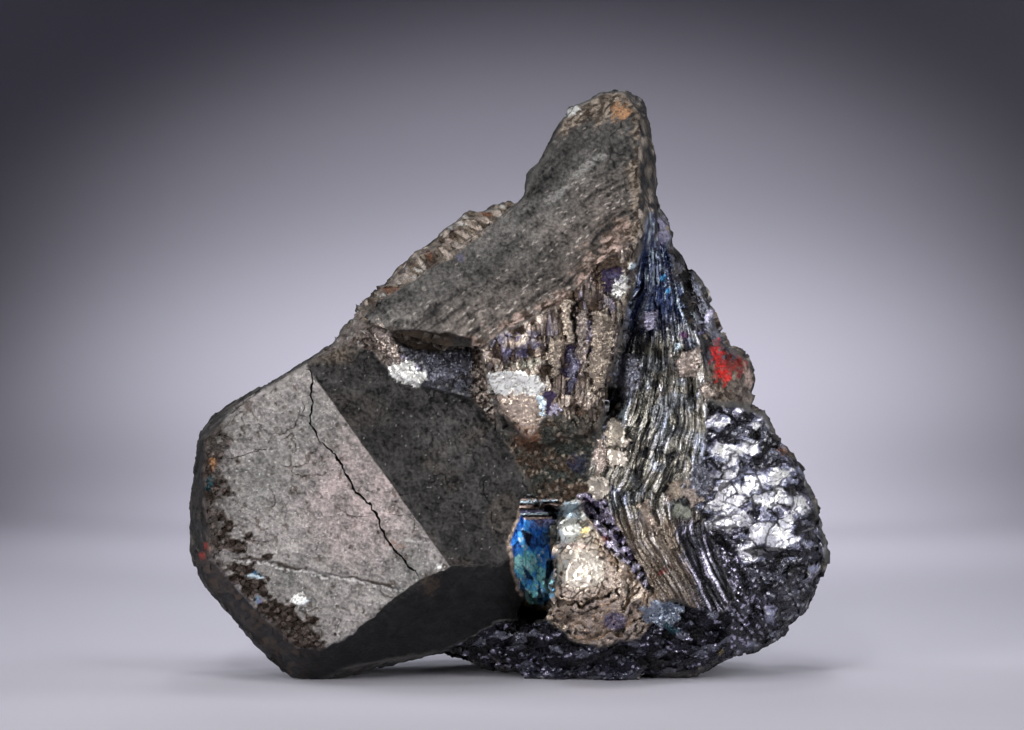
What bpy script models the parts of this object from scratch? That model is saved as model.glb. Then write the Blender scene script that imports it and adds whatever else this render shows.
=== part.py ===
"""Native bismuth: one broken, cleaved and tarnished mass, about 72 mm wide.

The front looks toward -Y. The specimen stands on a small flat at its left foot
and on the flat under its bottom shelf. All sizes below are in millimetres and
become metres when the mesh is made.
"""

import bmesh
import bpy
import numpy as np
from mathutils import Vector, kdtree, noise

# Sizes of the whole
MM = 0.001
REST_HEIGHT = 0.0
SNAP_TO_REST = 0.22
LEVEL_TOLERANCE = 0.001
VOXEL = 0.42
TRIANGLE_BUDGET = 9300

# Relief that the broken surfaces carry
GRAIN_SIZE = 1.7
GRAIN_DEPTH = 0.10
SWELL_SIZE = 7.0
SWELL_DEPTH = 0.28
FACET_CELL = 5.2
FACET_TILT = 0.16
CHIP_CELL = 2.6
CHIP_TILT = 0.17
FACET_LIMITS = (-0.8, 0.3)
CHIP_LIMITS = (-0.5, 0.2)
LAMELLA_PITCH = 2.1
LAMELLA_DEPTH = 0.55
LAMELLA_DRIFT = 0.35
LAMELLA_DRIFT_SIZE = 5.0
COLUMN_PITCH = 1.9
COLUMN_DEPTH = 0.5
LEDGE_STEP = 1.5
LEDGE_SHARE = 0.75
LEDGE_WANDER = 0.4
CLEAVAGE_STEP = 1.3
CLEAVAGE_SHARE = 0.8
CLEAVAGE_WANDER = 0.5
CRACK_HALF_WIDTH = 0.5
CRACK_DEPTH = 0.6

# Large flat faces, each through three points (x, y, z)
PALE_FACE = ((-32.4, -11.5, 27.3), (-21.6, -14.5, 35.1), (-5.8, -17.5, 13.3))
DARK_FACE = ((-21.6, -14.5, 35.1), (-5.8, -17.5, 13.3), (3.0, -12.8, 22.3))
PEAK_FACE = ((-12.8, -16.5, 38.2), (12.9, -4.5, 65.6), (-2.6, -18.0, 36.9))

# Crack that runs down the pale face, as (x, z)
CRACK = ((-21.5, 34.9), (-20.8, 31.0), (-20.6, 28.4), (-18.4, 26.2), (-16.8, 22.6),
         (-14.6, 19.0), (-13.4, 17.2), (-11.0, 14.6), (-9.2, 12.2))
CRACK_RIGHT_END = -8.5

# Middle line of the bent lamellae on the right of the front, as (x, z)
LAMELLA_LINE = ((17.2, 52.5), (16.8, 42.5), (16.4, 32.0), (15.6, 24.0), (16.4, 18.0),
                (20.0, 11.0), (24.0, 4.0))

LUMP_MIDDLE = (8.0, 12.2)
LUMP_FLATTEN = 0.8
COLUMN_ZONE = (5.0, 12.0, 29.5, 39.5)


def on_face(face, outline):
    """Points of an outline given as (x, z), laid on a large flat face."""
    a, b, c = (np.array(p, dtype=float) for p in face)
    normal = np.cross(b - a, c - a)
    return [(x, a[1] - (normal[0] * (x - a[0]) + normal[2] * (z - a[2])) / normal[1], z)
            for x, z in outline]


# Blocks of the mass. Each is the convex body through its points.
BLOCKS = {
    "left_slab": on_face(PALE_FACE, [
        (-32.2, 27.2), (-28.4, 30.6), (-24.0, 33.2), (-21.6, 35.0), (-5.8, 13.4), (-11.2, 10.4),
        (-17.3, 5.4), (-19.8, 4.4), (-22.4, 4.4), (-27.4, 9.0), (-32.0, 13.8), (-32.6, 22.2),
    ]) + on_face(DARK_FACE, [
        (-17.2, 37.4), (-11.4, 36.4), (-3.8, 32.4), (3.0, 22.3), (2.2, 15.4), (-0.4, 13.4),
    ]) + [
        (-34.2, -6, 26.4), (-34.4, -5, 20.0), (-35.2, -4, 16.4), (-35.0, -4, 13.4),
        (-33.6, -5, 10.8), (-27.8, -5, 3.8), (-25.8, -5, 2.2), (-24.2, -4.5, 0.6),
        (-23.0, -5, -0.3), (-20.4, -5, -0.3), (-17.6, -8, 1.4), (-11.6, -6, 2.4),
        (-7.8, -3, 2.8), (-0.6, -6, 4.4), (2.2, -8, 8.8), (-34.6, 3, 27.6), (-33.4, 5, 29.2),
        (-28.0, 7, 31.8), (-23.6, 8, 34.8), (-18.4, 6, 37.2), (-35.6, 5, 14.6), (-34.0, 5, 9.6),
        (-28.6, 4, 3.5), (-23.6, 3, -0.4), (-20.8, 3, -0.4), (-18.2, 2, 0.8), (-7.4, 6, 3.4),
        (-3.0, 8, 30.6),
    ],
    "peak_slab_low": on_face(PEAK_FACE, [
        (-15.4, 39.8), (-12.0, 38.2), (-6.8, 36.8), (-2.6, 36.8), (-0.4, 38.6), (6.0, 41.8),
        (10.2, 46.2), (14.6, 48.8), (15.0, 53.2), (1.8, 52.6), (-5.4, 46.6), (-13.8, 41.2),
    ]) + [
        (16.8, -5, 54.2), (16.6, -8, 48.4), (1.6, -1, 53.0), (-5.6, -3, 46.4), (-15.0, -8, 40.0),
        (16.6, 5, 53.6), (1.8, 4, 52.2), (-8.4, 0, 44.8), (-6.0, -6, 38.6), (15.2, -2, 42.0),
        (6.2, -4, 38.6),
    ],
    "peak_slab_top": on_face(PEAK_FACE, [
        (1.8, 52.6), (2.8, 54.2), (3.6, 57.0), (4.8, 58.8), (7.2, 61.8), (7.0, 62.6), (10.6, 65.0),
        (13.0, 65.4), (15.0, 62.8), (15.0, 52.8), (10.2, 46.2), (6.0, 41.8),
    ]) + [
        (14.0, 1, 66.0), (15.8, 1, 64.8), (16.4, -1, 61.8), (16.8, -3, 57.6), (16.8, -5, 53.0),
        (16.6, -8, 48.4), (7.6, 2, 63.4), (5.0, 2, 59.6), (3.6, 1, 56.6), (2.4, 0, 54.0),
        (16.8, 5, 59.4), (17.2, 5, 53.0), (10.8, 4, 65.8), (15.4, 4, 64.8), (2.8, 4, 52.4),
    ],
    "peak_lip": [
        (10.6, -4, 64.6), (7.4, -4.5, 63.4), (7.2, -5, 62.8), (8.8, -5.5, 62.6), (11.6, -5, 63.4),
        (7.4, 2, 63.8), (7.4, 2, 63.2), (10.8, 2.5, 65.2), (10.8, 2, 63.2),
    ],
    "peak_knob": [
        (2.8, -8.5, 56.4), (3.6, -8.5, 57.0), (4.2, -9, 55.6), (4.0, -10, 53.8), (2.8, -10.5, 53.2),
        (2.4, -9.5, 54.4), (2.4, 1, 56.6), (2.4, 1, 54.8), (3.8, 1.5, 57.6), (4.0, 1, 54.4),
    ],
    "ledge": [
        (-21.4, -13.0, 34.8), (-18.6, -10.0, 37.2), (-16.6, -9.0, 39.4), (-14.4, -12.5, 39.2),
        (-11.4, -12.5, 36.6), (-8.2, -13.2, 33.6), (-2.8, -12.5, 33.6), (0.4, -13.0, 28.8),
        (-2.6, -11.0, 36.6), (-17.6, 0, 36.6), (-17.0, 0, 39.2), (-2.6, 0, 36.6), (0.4, 0, 28.2),
    ],
    "gold_facet": [
        (-2.2, -17.5, 36.4), (-0.4, -17.5, 38.0), (6.0, -16, 41.2), (10.2, -14, 45.6),
        (14.4, -13, 48.2), (14.6, -12, 47.2), (13.4, -12, 41.8), (12.0, -12, 36.4),
        (11.2, -12, 31.4), (10.2, -11.5, 27.8), (7.6, -13, 29.6), (4.4, -14, 28.8),
        (3.0, -14, 26.0), (1.6, -14.5, 27.6), (-0.8, -15.5, 30.4), (-2.2, -16.5, 33.4),
        (-1.6, -8, 35.2), (15.0, -4, 47.6), (10.6, -6, 27.6), (2.8, -8, 25.4), (6.2, -4, 38.6),
    ],
    "throat": [
        (-0.6, -12, 29.8), (4.4, -10.5, 29.6), (10.4, -9.5, 28.8), (9.2, -9.5, 20.0),
        (6.0, -10.5, 19.2), (2.2, -12, 20.0), (1.2, -12.5, 23.4), (-0.6, 0, 28.6), (10.8, 0, 28.6),
        (9.6, 0, 18.4), (1.6, 0, 19.0),
    ],
    "core_left": [
        (-33.2, 4, 26.2), (-34.8, 4, 14.8), (-25.8, 8, 31.2), (-18.4, 6, 37.0), (-23.8, 4, 0.6),
        (-20.0, 5, 0.6), (-7.6, 7, 3.0), (-3.0, 8, 3.0), (-2.8, 5, 38.2), (-20.6, 14, 22.4),
        (-20.6, 12, 8.4), (-7.8, 17, 28.2), (-6.6, 16, 6.8), (-2.8, -8, 19.8), (6.6, 19, 16.2),
    ],
    "core_right": [
        (-2.8, -8, 19.8), (-3.0, 7, 3.0), (11.0, 9, 0.4), (22.6, 8, 1.0), (29.4, 8, 3.4),
        (34.0, 6, 7.8), (35.2, 6, 14.0), (33.6, 8, 22.6), (30.0, 7, 27.8), (26.4, 6, 33.6),
        (15.6, 6, 41.0), (-2.8, 5, 37.0), (-7.8, 17, 28.2), (-6.6, 16, 6.8), (11.2, 18, 30.6),
        (13.6, 16, 4.6), (23.2, 19, 22.2), (25.4, 15, 7.0), (6.6, 20, 16.2), (21.6, -6, 19.8),
        (15.0, -4, 36.4), (15.0, -6, 4.4),
    ],
    "core_low_top": [
        (-15.4, -2, 39.8), (-9.0, -1, 46.0), (1.0, 0, 52.4), (15.6, 10, 30.6), (-7.6, 8, 30.6),
        (8.0, 10, 47.0), (1.8, 10, 43.4), (15.0, -5, 38.6), (16.8, 4, 50.0),
    ],
    "core_high_top": [
        (2.6, 0, 53.0), (5.2, 2, 59.0), (7.8, 2, 63.0), (13.0, 2, 65.6), (15.8, 3, 63.8),
        (16.8, 5, 53.0), (11.0, 10, 48.2), (15.6, 9, 36.0), (4.0, 8, 40.0), (13.5, 6, 60.0),
    ],
    "core_shoulder": [
        (15.0, -4, 50.8), (16.8, -2, 51.0), (18.4, 0, 48.2), (20.4, 2, 45.8), (22.2, 2, 41.0),
        (23.8, 2, 37.0), (26.0, 0, 33.0), (15.0, -6, 30.8), (15.4, 5, 51.4), (17.2, 5, 50.8),
        (18.6, 5, 48.0), (21.4, 7, 42.2), (24.2, 7, 36.4), (26.6, 8, 32.4), (15.8, 12, 30.6),
        (21.6, -6, 28.6), (13.4, 10, 38.8),
    ],
    "lamellae_top": [
        (15.2, -8.5, 48.6), (16.6, -6.5, 49.4), (18.2, -5, 46.2), (20.6, -5, 42.0), (21.6, -6, 35.2),
        (20.4, -7.5, 27.6), (14.8, -10.5, 27.6), (11.8, -8.5, 27.6), (12.8, -8, 36.4),
        (14.2, -8, 43.0), (16.4, -10, 37.4), (15.2, 0, 42.0), (20.8, 0, 28.6), (13.0, 0, 28.6),
    ],
    "lamellae_middle": [
        (11.8, -8.5, 29.8), (14.8, -11, 29.8), (20.4, -8, 30.8), (21.4, -8, 25.4), (20.8, -8.5, 19.8),
        (16.8, -12, 17.8), (13.2, -11, 17.8), (10.2, -10, 20.0), (9.6, -9.5, 23.2),
        (15.8, -11.5, 24.4), (15.2, 0, 28.6), (20.8, 0, 19.4), (10.8, 0, 19.4),
    ],
    "lamellae_low": [
        (11.0, -9.5, 21.0), (15.8, -12, 21.2), (20.4, -9, 20.0), (23.8, -8.5, 13.4), (24.8, -9, 9.0),
        (21.2, -12, 8.6), (17.6, -13.5, 9.2), (14.6, -13, 11.4), (12.0, -11.5, 15.6),
        (16.2, -13, 15.8), (19.0, -13.5, 11.4), (13.0, 0, 19.4), (24.2, 0, 8.2), (16.4, 0, 8.2),
    ],
    "gold_lump": [
        (5.6, -14.5, 18.4), (8.4, -13, 19.8), (10.0, -14, 18.0), (13.4, -15, 14.6),
        (17.2, -14.5, 9.8), (16.6, -14, 7.8), (14.6, -13, 5.4), (11.4, -12.5, 4.4),
        (7.6, -13, 5.2), (4.6, -13.5, 7.6), (5.0, -16, 10.6), (5.2, -16, 15.4), (7.2, -18, 16.0),
        (5.8, -18.5, 11.8), (10.0, -19.5, 11.4), (12.2, -18.5, 9.8), (9.2, -17.5, 8.0),
        (6.0, -17, 9.6), (10.2, -18, 14.0), (6.2, 0, 15.0), (16.4, 0, 8.2), (10.8, 0, 3.6),
    ],
    "bottom_shelf": [
        (-5.6, -5, 4.0), (-0.6, -9, 6.6), (6.0, -11, 5.6), (14.6, -12, 5.8), (21.2, -12, 7.6),
        (25.8, -10, 9.0), (28.4, -5, 4.4), (24.4, -5, 2.0), (21.8, -4, 0.9), (17.2, -4, 0.3),
        (12.8, -5, -0.3), (4.4, -5, -0.3), (-0.6, -3, 0.7), (-4.0, -1, 1.4), (-3.6, 7, 2.2),
        (1.0, 12, 0.2), (6.4, 13, -0.6), (13.4, 13, -0.6), (18.2, 12, -0.2), (25.0, 10, 1.0),
        (29.4, 8, 3.4), (10.4, -11, 3.4), (20.2, -10, 3.6),
    ],
    "dome": [
        (21.4, -8, 25.4), (24.2, -9.5, 26.6), (28.0, -4, 29.8), (29.4, -5, 27.8), (31.8, -3.5, 25.6),
        (33.0, -3, 23.4), (34.4, -2, 18.8), (35.8, 0, 17.0), (36.0, 0, 14.0), (35.8, 0, 11.4),
        (34.6, -1, 9.0), (33.6, -1, 6.8), (30.4, -2, 4.0), (26.8, -4, 3.0), (24.0, -8, 4.2),
        (21.8, -10.5, 8.0), (20.8, -10.5, 15.6), (20.6, -9.5, 21.0), (25.6, -12, 23.4),
        (27.8, -13.5, 18.0), (27.0, -13.5, 12.6), (24.2, -12, 7.8), (30.8, -8.5, 22.0),
        (32.8, -8, 17.6), (32.8, -7.5, 11.6), (30.4, -7, 7.4), (23.4, -12.5, 18.0), (29.4, 6, 27.2),
        (34.2, 8, 21.4), (36.0, 9, 14.4), (34.2, 8, 7.6), (29.4, 6, 3.8), (32.4, 14, 14.2),
    ],
    "spur_high": [
        (16.8, -4, 52.2), (17.6, -3, 52.0), (18.8, -2, 50.8), (19.0, -2, 48.6), (18.6, -3, 47.2),
        (16.6, -6, 47.4), (16.2, -6, 51.4), (17.6, 3, 52.0), (19.0, 3, 49.6), (17.0, 3, 47.8),
    ],
    "spur_middle": [
        (19.0, -1, 48.0), (20.4, -1, 46.8), (20.2, -1, 45.8), (21.4, 0, 45.2), (22.2, 0, 43.2),
        (23.2, 0, 41.2), (24.2, 0, 39.2), (25.0, -1, 37.0), (21.6, -5, 36.4), (20.6, -4.5, 40.8),
        (18.2, -4, 46.2), (20.0, 5, 46.6), (22.4, 6, 42.2), (25.0, 6, 37.4), (20.0, 5, 37.6),
    ],
    "side_knob": [
        (22.2, -6, 37.0), (24.8, -4.5, 36.8), (26.0, -3, 36.2), (27.4, -3, 35.0), (28.0, -3, 33.2),
        (27.6, -4, 31.2), (25.8, -7, 29.8), (23.2, -7.5, 29.2), (21.8, -7.5, 31.4),
        (24.6, -8, 33.6), (26.2, 4, 35.8), (28.2, 5, 33.2), (28.0, 5, 30.2), (24.0, 3, 33.0),
    ],
    "bridge": [
        (20.4, -7, 31.4), (26.2, -5, 30.2), (28.8, -3, 28.8), (26.4, -9, 25.4), (21.4, -9.5, 24.8),
        (21.4, -8, 28.6), (29.0, 5, 28.4), (22.2, 3, 26.2),
    ],
    "rim_first": [
        (-16.4, -6, 39.6), (-15.8, -6, 41.2), (-14.4, -6, 42.4), (-12.8, -5.5, 43.6),
        (-13.2, -11, 41.2), (-15.0, -12, 40.0), (-16.0, 1, 41.0), (-13.8, 1, 42.6), (-11.8, 0, 39.8),
    ],
    "rim_second": [
        (-13.2, -5.5, 43.8), (-12.6, -5.5, 44.6), (-10.6, -5.5, 46.8), (-9.0, -5, 48.0),
        (-8.2, -9, 46.0), (-11.4, -11, 42.2), (-13.0, 1, 44.0), (-10.2, 2, 46.4), (-8.6, 2, 43.2),
    ],
    "rim_third": [
        (-9.2, -5, 47.6), (-8.4, -5, 48.4), (-6.6, -5, 49.6), (-5.0, -4.5, 51.0), (-4.2, -8, 49.0),
        (-7.0, -10, 45.6), (-8.6, 2, 47.8), (-5.6, 2, 49.8), (-6.2, 2, 44.4),
    ],
    "rim_fourth": [
        (-5.4, -4.5, 50.6), (-4.2, -4.5, 51.8), (-2.2, -4, 52.4), (0.4, -4, 53.0), (1.8, -3, 52.8),
        (-0.6, -6, 50.6), (-3.8, -8, 47.8), (-4.4, 2, 51.2), (-0.6, 2, 52.6), (1.6, 2, 52.2),
        (-1.8, 2, 47.8),
    ],
    "back_left": [
        (-30.0, 6, 9.5), (-33.0, 5, 19.5), (-28.0, 9, 28.5), (-14.0, 13, 31.5), (-8.0, 17, 21.5),
        (-10.0, 16, 7.5), (-22.0, 8, 3.5), (-26.0, 9, 12.0), (-12.0, 2, 35.5), (-20.0, 13.5, 19.5),
        (-8.0, 10, 37.0),
    ],
    "back_top": [
        (-11.0, 2, 36.0), (-1.0, 6, 45.5), (6.5, 7.5, 56.0), (13.0, 7, 60.5), (15.0, 8, 45.5),
        (12.0, 13, 37.5), (0.0, 15, 35.5), (-8.0, 12, 33.5), (14.0, 3, 61.5), (17.0, 5, 49.5),
        (16.0, 8, 37.5),
    ],
    "back_middle": [
        (-12.0, 14, 14), (-10.0, 17, 29.5), (0.0, 19, 37.5), (10.0, 17.5, 37.5), (12.0, 20, 20),
        (4.0, 20, 10), (-8.0, 17, 8), (0.0, 8, 6), (12.0, 8, 39.5),
    ],
    "back_step": [
        (-4.0, 19, 18), (-3.0, 19.5, 30), (6.0, 20.5, 33), (9.0, 20.5, 22), (5.0, 20.5, 14),
        (0.0, 10, 20), (0.0, 10, 30),
    ],
    "back_right": [
        (12.0, 18, 34), (22.0, 17, 31.5), (29.0, 12, 25.5), (33.0, 8, 18), (31.0, 9, 10),
        (24.0, 13, 5), (14.0, 17, 6), (10.0, 20, 14), (20.0, 19.5, 20), (12.0, 8, 34), (30.0, 2, 25.5),
    ],
    "back_shoulder": [
        (14.0, 10, 43.5), (19.0, 8, 41.5), (23.0, 8, 36.0), (26.0, 8, 30.5), (20.0, 14, 31.5),
        (12.0, 15, 37.5), (16.0, 2, 43.5), (24.0, 2, 33.0),
    ],
    "back_foot": [
        (-4.0, 12, 2.4), (4.0, 15, -0.5), (15.0, 14.5, -0.5), (22.0, 10, 1.2), (24.0, 13, 7.5),
        (4.0, 17, 7.5), (-10.0, 14, 7.5), (12.0, -2, -0.5), (3.0, 4, -0.5), (-12.0, 8, 3.2),
    ],
}

# Kind of surface on each block that isn't plainly granular
LAMELLAR = ("lamellae_top", "lamellae_middle", "lamellae_low")
CHIPPED = ("dome", "bottom_shelf", "core_right", "core_shoulder", "spur_high", "spur_middle",
           "side_knob", "bridge", "rim_first", "rim_second", "rim_third", "rim_fourth",
           "peak_lip", "peak_knob", "back_foot", "throat")
CLEAVED = ("back_left", "back_top", "back_middle", "back_step", "back_right", "back_shoulder",
           "core_left", "core_low_top", "core_high_top")
SMOOTH = ("left_slab", "peak_slab_low", "peak_slab_top")
CLEAVAGE_NORMAL = Vector((0.35, 0.86, 0.37)).normalized()


def clear_scene():
    for old in list(bpy.data.objects):
        bpy.data.objects.remove(old, do_unlink=True)


def hull_mesh(points):
    """Closed convex body through the points, as a bmesh in millimetres."""
    body = bmesh.new()
    for point in points:
        body.verts.new(point)
    result = bmesh.ops.convex_hull(body, input=list(body.verts))
    spare = {item for item in result["geom_interior"] + result["geom_unused"]
             if isinstance(item, bmesh.types.BMVert)}
    bmesh.ops.delete(body, geom=list(spare), context="VERTS")
    bmesh.ops.recalc_face_normals(body, faces=body.faces)
    return body


def block_planes(body):
    """Normals and offsets of a block's faces, to tell how far a point is outside it."""
    body.normal_update()
    normals = np.array([face.normal for face in body.faces])
    offsets = np.array([face.normal.dot(face.verts[0].co) for face in body.faces])
    return normals, offsets


def merged_blocks():
    """All blocks in one mesh, and each block's face planes."""
    together = bpy.data.meshes.new("blocks")
    whole = bmesh.new()
    planes = {}
    for name, points in BLOCKS.items():
        body = hull_mesh(points)
        planes[name] = block_planes(body)
        copy = bpy.data.meshes.new(name)
        body.to_mesh(copy)
        whole.from_mesh(copy)
        body.free()
        bpy.data.meshes.remove(copy)
    whole.to_mesh(together)
    whole.free()
    return together, planes


def evaluated_copy(source):
    """Mesh of an object after its modifiers."""
    graph = bpy.context.evaluated_depsgraph_get()
    return bpy.data.meshes.new_from_object(source.evaluated_get(graph))


def fused_skin(blocks):
    """One closed skin around the overlapping blocks."""
    source = bpy.data.objects.new("blocks", blocks)
    bpy.context.scene.collection.objects.link(source)
    remesh = source.modifiers.new("skin", "REMESH")
    remesh.mode = "VOXEL"
    remesh.voxel_size = VOXEL
    skin = evaluated_copy(source)
    bpy.data.objects.remove(source, do_unlink=True)
    return skin


def nearest_block(points, planes):
    """Name of the block whose surface each point lies on."""
    names = list(planes)
    outside = np.stack([(points @ planes[name][0].T - planes[name][1]).max(axis=1)
                        for name in names])
    return np.array(names)[outside.argmin(axis=0)]


def swell(points, size, seed):
    """Soft noise, one value a point, about -1 to 1."""
    shift = Vector((seed * 7.1, seed * 3.7, seed * 5.3))
    return np.array([noise.noise(Vector(point) / size + shift) for point in points]) * 1.6


def facets(points, cell, seed):
    """Flat random facets: the height of each point's own tilted facet."""
    rng = np.random.default_rng(seed)
    low = points.min(axis=0) - cell
    high = points.max(axis=0) + cell
    counts = np.ceil((high - low) / cell).astype(int)
    grid = np.stack(np.meshgrid(*[np.arange(count) for count in counts], indexing="ij"), axis=-1)
    centres = low + (grid.reshape(-1, 3) + rng.uniform(0.1, 0.9, (grid.size // 3, 3))) * cell
    tilts = rng.normal(0.0, 1.0, centres.shape)
    tree = kdtree.KDTree(len(centres))
    for index, centre in enumerate(centres):
        tree.insert(centre, index)
    tree.balance()
    owner = np.array([tree.find(point)[1] for point in points])
    return ((points - centres[owner]) * tilts[owner]).sum(axis=1)


def path_frame(points, path):
    """Signed distance of each point from a path in the XZ plane, positive toward +X."""
    flat = points[:, (0, 2)]
    best = np.full(len(flat), 1e9)
    signed = np.zeros(len(flat))
    for start, end in zip(path[:-1], path[1:]):
        a = np.array(start)
        run = np.array(end) - a
        share = np.clip(((flat - a) @ run) / (run @ run), 0.0, 1.0)
        gap = flat - (a + share[:, None] * run)
        size = np.hypot(gap[:, 0], gap[:, 1])
        side = np.sign(run[0] * gap[:, 1] - run[1] * gap[:, 0])
        closer = size < best
        best[closer] = size[closer]
        signed[closer] = (side * size)[closer]
    return signed


def ridge(value):
    """Saw-like ridge from 0 to 1: a slow rise and a steep fall, once a unit."""
    share = value - np.floor(value)
    return np.where(share < 0.7, share / 0.7, (1.0 - share) / 0.3)


def terrace(value, step):
    """Offset that pulls a height to flat treads with steep risers."""
    share = value / step - np.floor(value / step)
    riser = np.clip((share - 0.7) / 0.3, 0.0, 1.0)
    return (riser - share) * step


def chip_relief(points):
    """Flat fracture facets of two sizes. They bite in more than they stand out."""
    coarse = facets(points, FACET_CELL, 11) * FACET_TILT
    fine = facets(points, CHIP_CELL, 12) * CHIP_TILT
    return np.clip(coarse, *FACET_LIMITS), np.clip(fine, *CHIP_LIMITS)


def lamella_relief(points):
    """Sharp ridges of the bent lamellae, which run along their middle line."""
    across = path_frame(points, LAMELLA_LINE) + LAMELLA_DRIFT * swell(points, LAMELLA_DRIFT_SIZE, 3)
    return (2.0 * ridge(across / LAMELLA_PITCH) - 1.0) * LAMELLA_DEPTH


def column_relief(points):
    """Upright columns in the middle of the gold facet."""
    left, right, low, high = COLUMN_ZONE
    x, z = points[:, 0], points[:, 2]
    inside = (x > left) & (x < right) & (z > low) & (z < high)
    return np.where(inside, (2.0 * ridge(x / COLUMN_PITCH) - 1.2) * COLUMN_DEPTH, 0.0)


def lump_relief(points, broad):
    """Ledges in rings around the gold lump."""
    ring = np.hypot(points[:, 0] - LUMP_MIDDLE[0], (points[:, 2] - LUMP_MIDDLE[1]) * LUMP_FLATTEN)
    return LEDGE_SHARE * terrace(ring + LEDGE_WANDER * broad, LEDGE_STEP)


def crack_relief(points, normals):
    """Groove of the crack, on the pale face alone."""
    gap = np.abs(path_frame(points, CRACK))
    groove = np.clip(1.0 - gap / CRACK_HALF_WIDTH, 0.0, 1.0) * CRACK_DEPTH
    return np.where((normals[:, 1] < -0.5) & (points[:, 0] < CRACK_RIGHT_END), -groove, 0.0)


def cleavage_move(points, normals, broad):
    """Shift along the cleavage normal that leaves stacked flat sheets."""
    layer = np.array(CLEAVAGE_NORMAL)
    step = terrace(points @ layer + CLEAVAGE_WANDER * broad, CLEAVAGE_STEP)
    facing = np.clip(normals @ layer, 0.0, 1.0)
    return (CLEAVAGE_SHARE * step * facing)[:, None] * layer


def relief(points, normals, planes):
    """Offset of each point of the skin, in millimetres."""
    owner = nearest_block(points, planes)
    broad = swell(points, SWELL_SIZE, 2)
    coarse, fine = chip_relief(points)
    smooth = np.isin(owner, SMOOTH)
    chipped = np.isin(owner, CHIPPED)
    cleaved = np.isin(owner, CLEAVED)
    height = swell(points, GRAIN_SIZE, 1) * GRAIN_DEPTH + broad * np.where(smooth, 0.5, 1.0) * SWELL_DEPTH
    height += np.where(chipped, 0.7 * coarse + fine, 0.0)
    height += np.where(cleaved, coarse + 0.4 * fine, 0.0)
    height += np.where(np.isin(owner, LAMELLAR), lamella_relief(points), 0.0)
    height += np.where(owner == "gold_facet", column_relief(points) + 0.6 * fine, 0.0)
    height += np.where(owner == "gold_lump", lump_relief(points, broad), 0.0)
    height += np.where(owner == "left_slab", crack_relief(points, normals), 0.0)
    sheets = cleavage_move(points, normals, broad)
    return normals * height[:, None] + np.where(cleaved[:, None], sheets, 0.0)


def shaped_skin(skin, planes):
    """Skin with the relief of the broken, cleaved and bent surfaces."""
    count = len(skin.vertices)
    points = np.empty(count * 3)
    normals = np.empty(count * 3)
    skin.vertices.foreach_get("co", points)
    skin.vertices.foreach_get("normal", normals)
    points = points.reshape(-1, 3)
    normals = normals.reshape(-1, 3)
    points = points + relief(points, normals, planes)
    skin.vertices.foreach_set("co", points.ravel())
    skin.update()


def thinned(skin):
    """Skin with far fewer triangles, which keep its edges and ledges."""
    source = bpy.data.objects.new("skin", skin)
    bpy.context.scene.collection.objects.link(source)
    even = source.modifiers.new("even", "REMESH")
    even.mode = "VOXEL"
    even.voxel_size = VOXEL
    faces = 2 * len(evaluated_copy(source).polygons)
    thin = source.modifiers.new("thin", "DECIMATE")
    thin.ratio = TRIANGLE_BUDGET / faces
    thin.use_collapse_triangulate = True
    mesh = evaluated_copy(source)
    bpy.data.objects.remove(source, do_unlink=True)
    return mesh


def drop_crumbs(body):
    """Keep only the largest connected shell."""
    unseen = set(body.verts)
    shells = []
    while unseen:
        shell = {unseen.pop()}
        front = list(shell)
        while front:
            vert = front.pop()
            fresh = {edge.other_vert(vert) for edge in vert.link_edges} & unseen
            unseen -= fresh
            shell |= fresh
            front.extend(fresh)
        shells.append(shell)
    shells.sort(key=len)
    crumbs = [vert for shell in shells[:-1] for vert in shell]
    bmesh.ops.delete(body, geom=crumbs, context="VERTS")


def stood_flat(mesh):
    """Cut the undersides flat at the resting height and close them."""
    body = bmesh.new()
    body.from_mesh(mesh)
    for vert in body.verts:
        if abs(vert.co.z - REST_HEIGHT) < SNAP_TO_REST:
            vert.co.z = REST_HEIGHT
    geometry = list(body.verts) + list(body.edges) + list(body.faces)
    bmesh.ops.bisect_plane(body, geom=geometry, dist=LEVEL_TOLERANCE, plane_co=(0, 0, REST_HEIGHT),
                           plane_no=(0, 0, -1), clear_outer=True)
    flat = [face for face in body.faces
            if all(abs(vert.co.z - REST_HEIGHT) < LEVEL_TOLERANCE for vert in face.verts)]
    bmesh.ops.delete(body, geom=flat, context="FACES")
    loose = [edge for edge in body.edges if not edge.link_faces]
    bmesh.ops.delete(body, geom=loose, context="EDGES")
    rim = [edge for edge in body.edges if edge.is_boundary]
    bmesh.ops.holes_fill(body, edges=rim, sides=0)
    drop_crumbs(body)
    bmesh.ops.triangulate(body, faces=[face for face in body.faces if len(face.verts) > 3])
    bmesh.ops.recalc_face_normals(body, faces=body.faces)
    body.to_mesh(mesh)
    body.free()
    return mesh


def centred(mesh):
    """Move the middle of the footprint to the origin and go from millimetres to metres."""
    points = np.array([vert.co for vert in mesh.vertices])
    middle = (points.min(axis=0) + points.max(axis=0)) / 2
    points[:, :2] -= middle[:2]
    points *= MM
    mesh.vertices.foreach_set("co", points.ravel())
    mesh.update()
    return mesh


def bismuth_material():
    material = bpy.data.materials.new("bismuth")
    material.use_nodes = True
    shader = material.node_tree.nodes["Principled BSDF"]
    shader.inputs["Base Color"].default_value = (0.19, 0.17, 0.16, 1.0)
    shader.inputs["Metallic"].default_value = 0.75
    shader.inputs["Roughness"].default_value = 0.48
    return material


def make_specimen():
    blocks, planes = merged_blocks()
    skin = fused_skin(blocks)
    shaped_skin(skin, planes)
    mesh = centred(stood_flat(thinned(skin)))
    mesh.name = "bismuth_specimen"
    mesh.materials.clear()
    mesh.materials.append(bismuth_material())
    specimen = bpy.data.objects.new("bismuth_specimen", mesh)
    bpy.context.scene.collection.objects.link(specimen)
    return specimen


clear_scene()
make_specimen()
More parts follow.
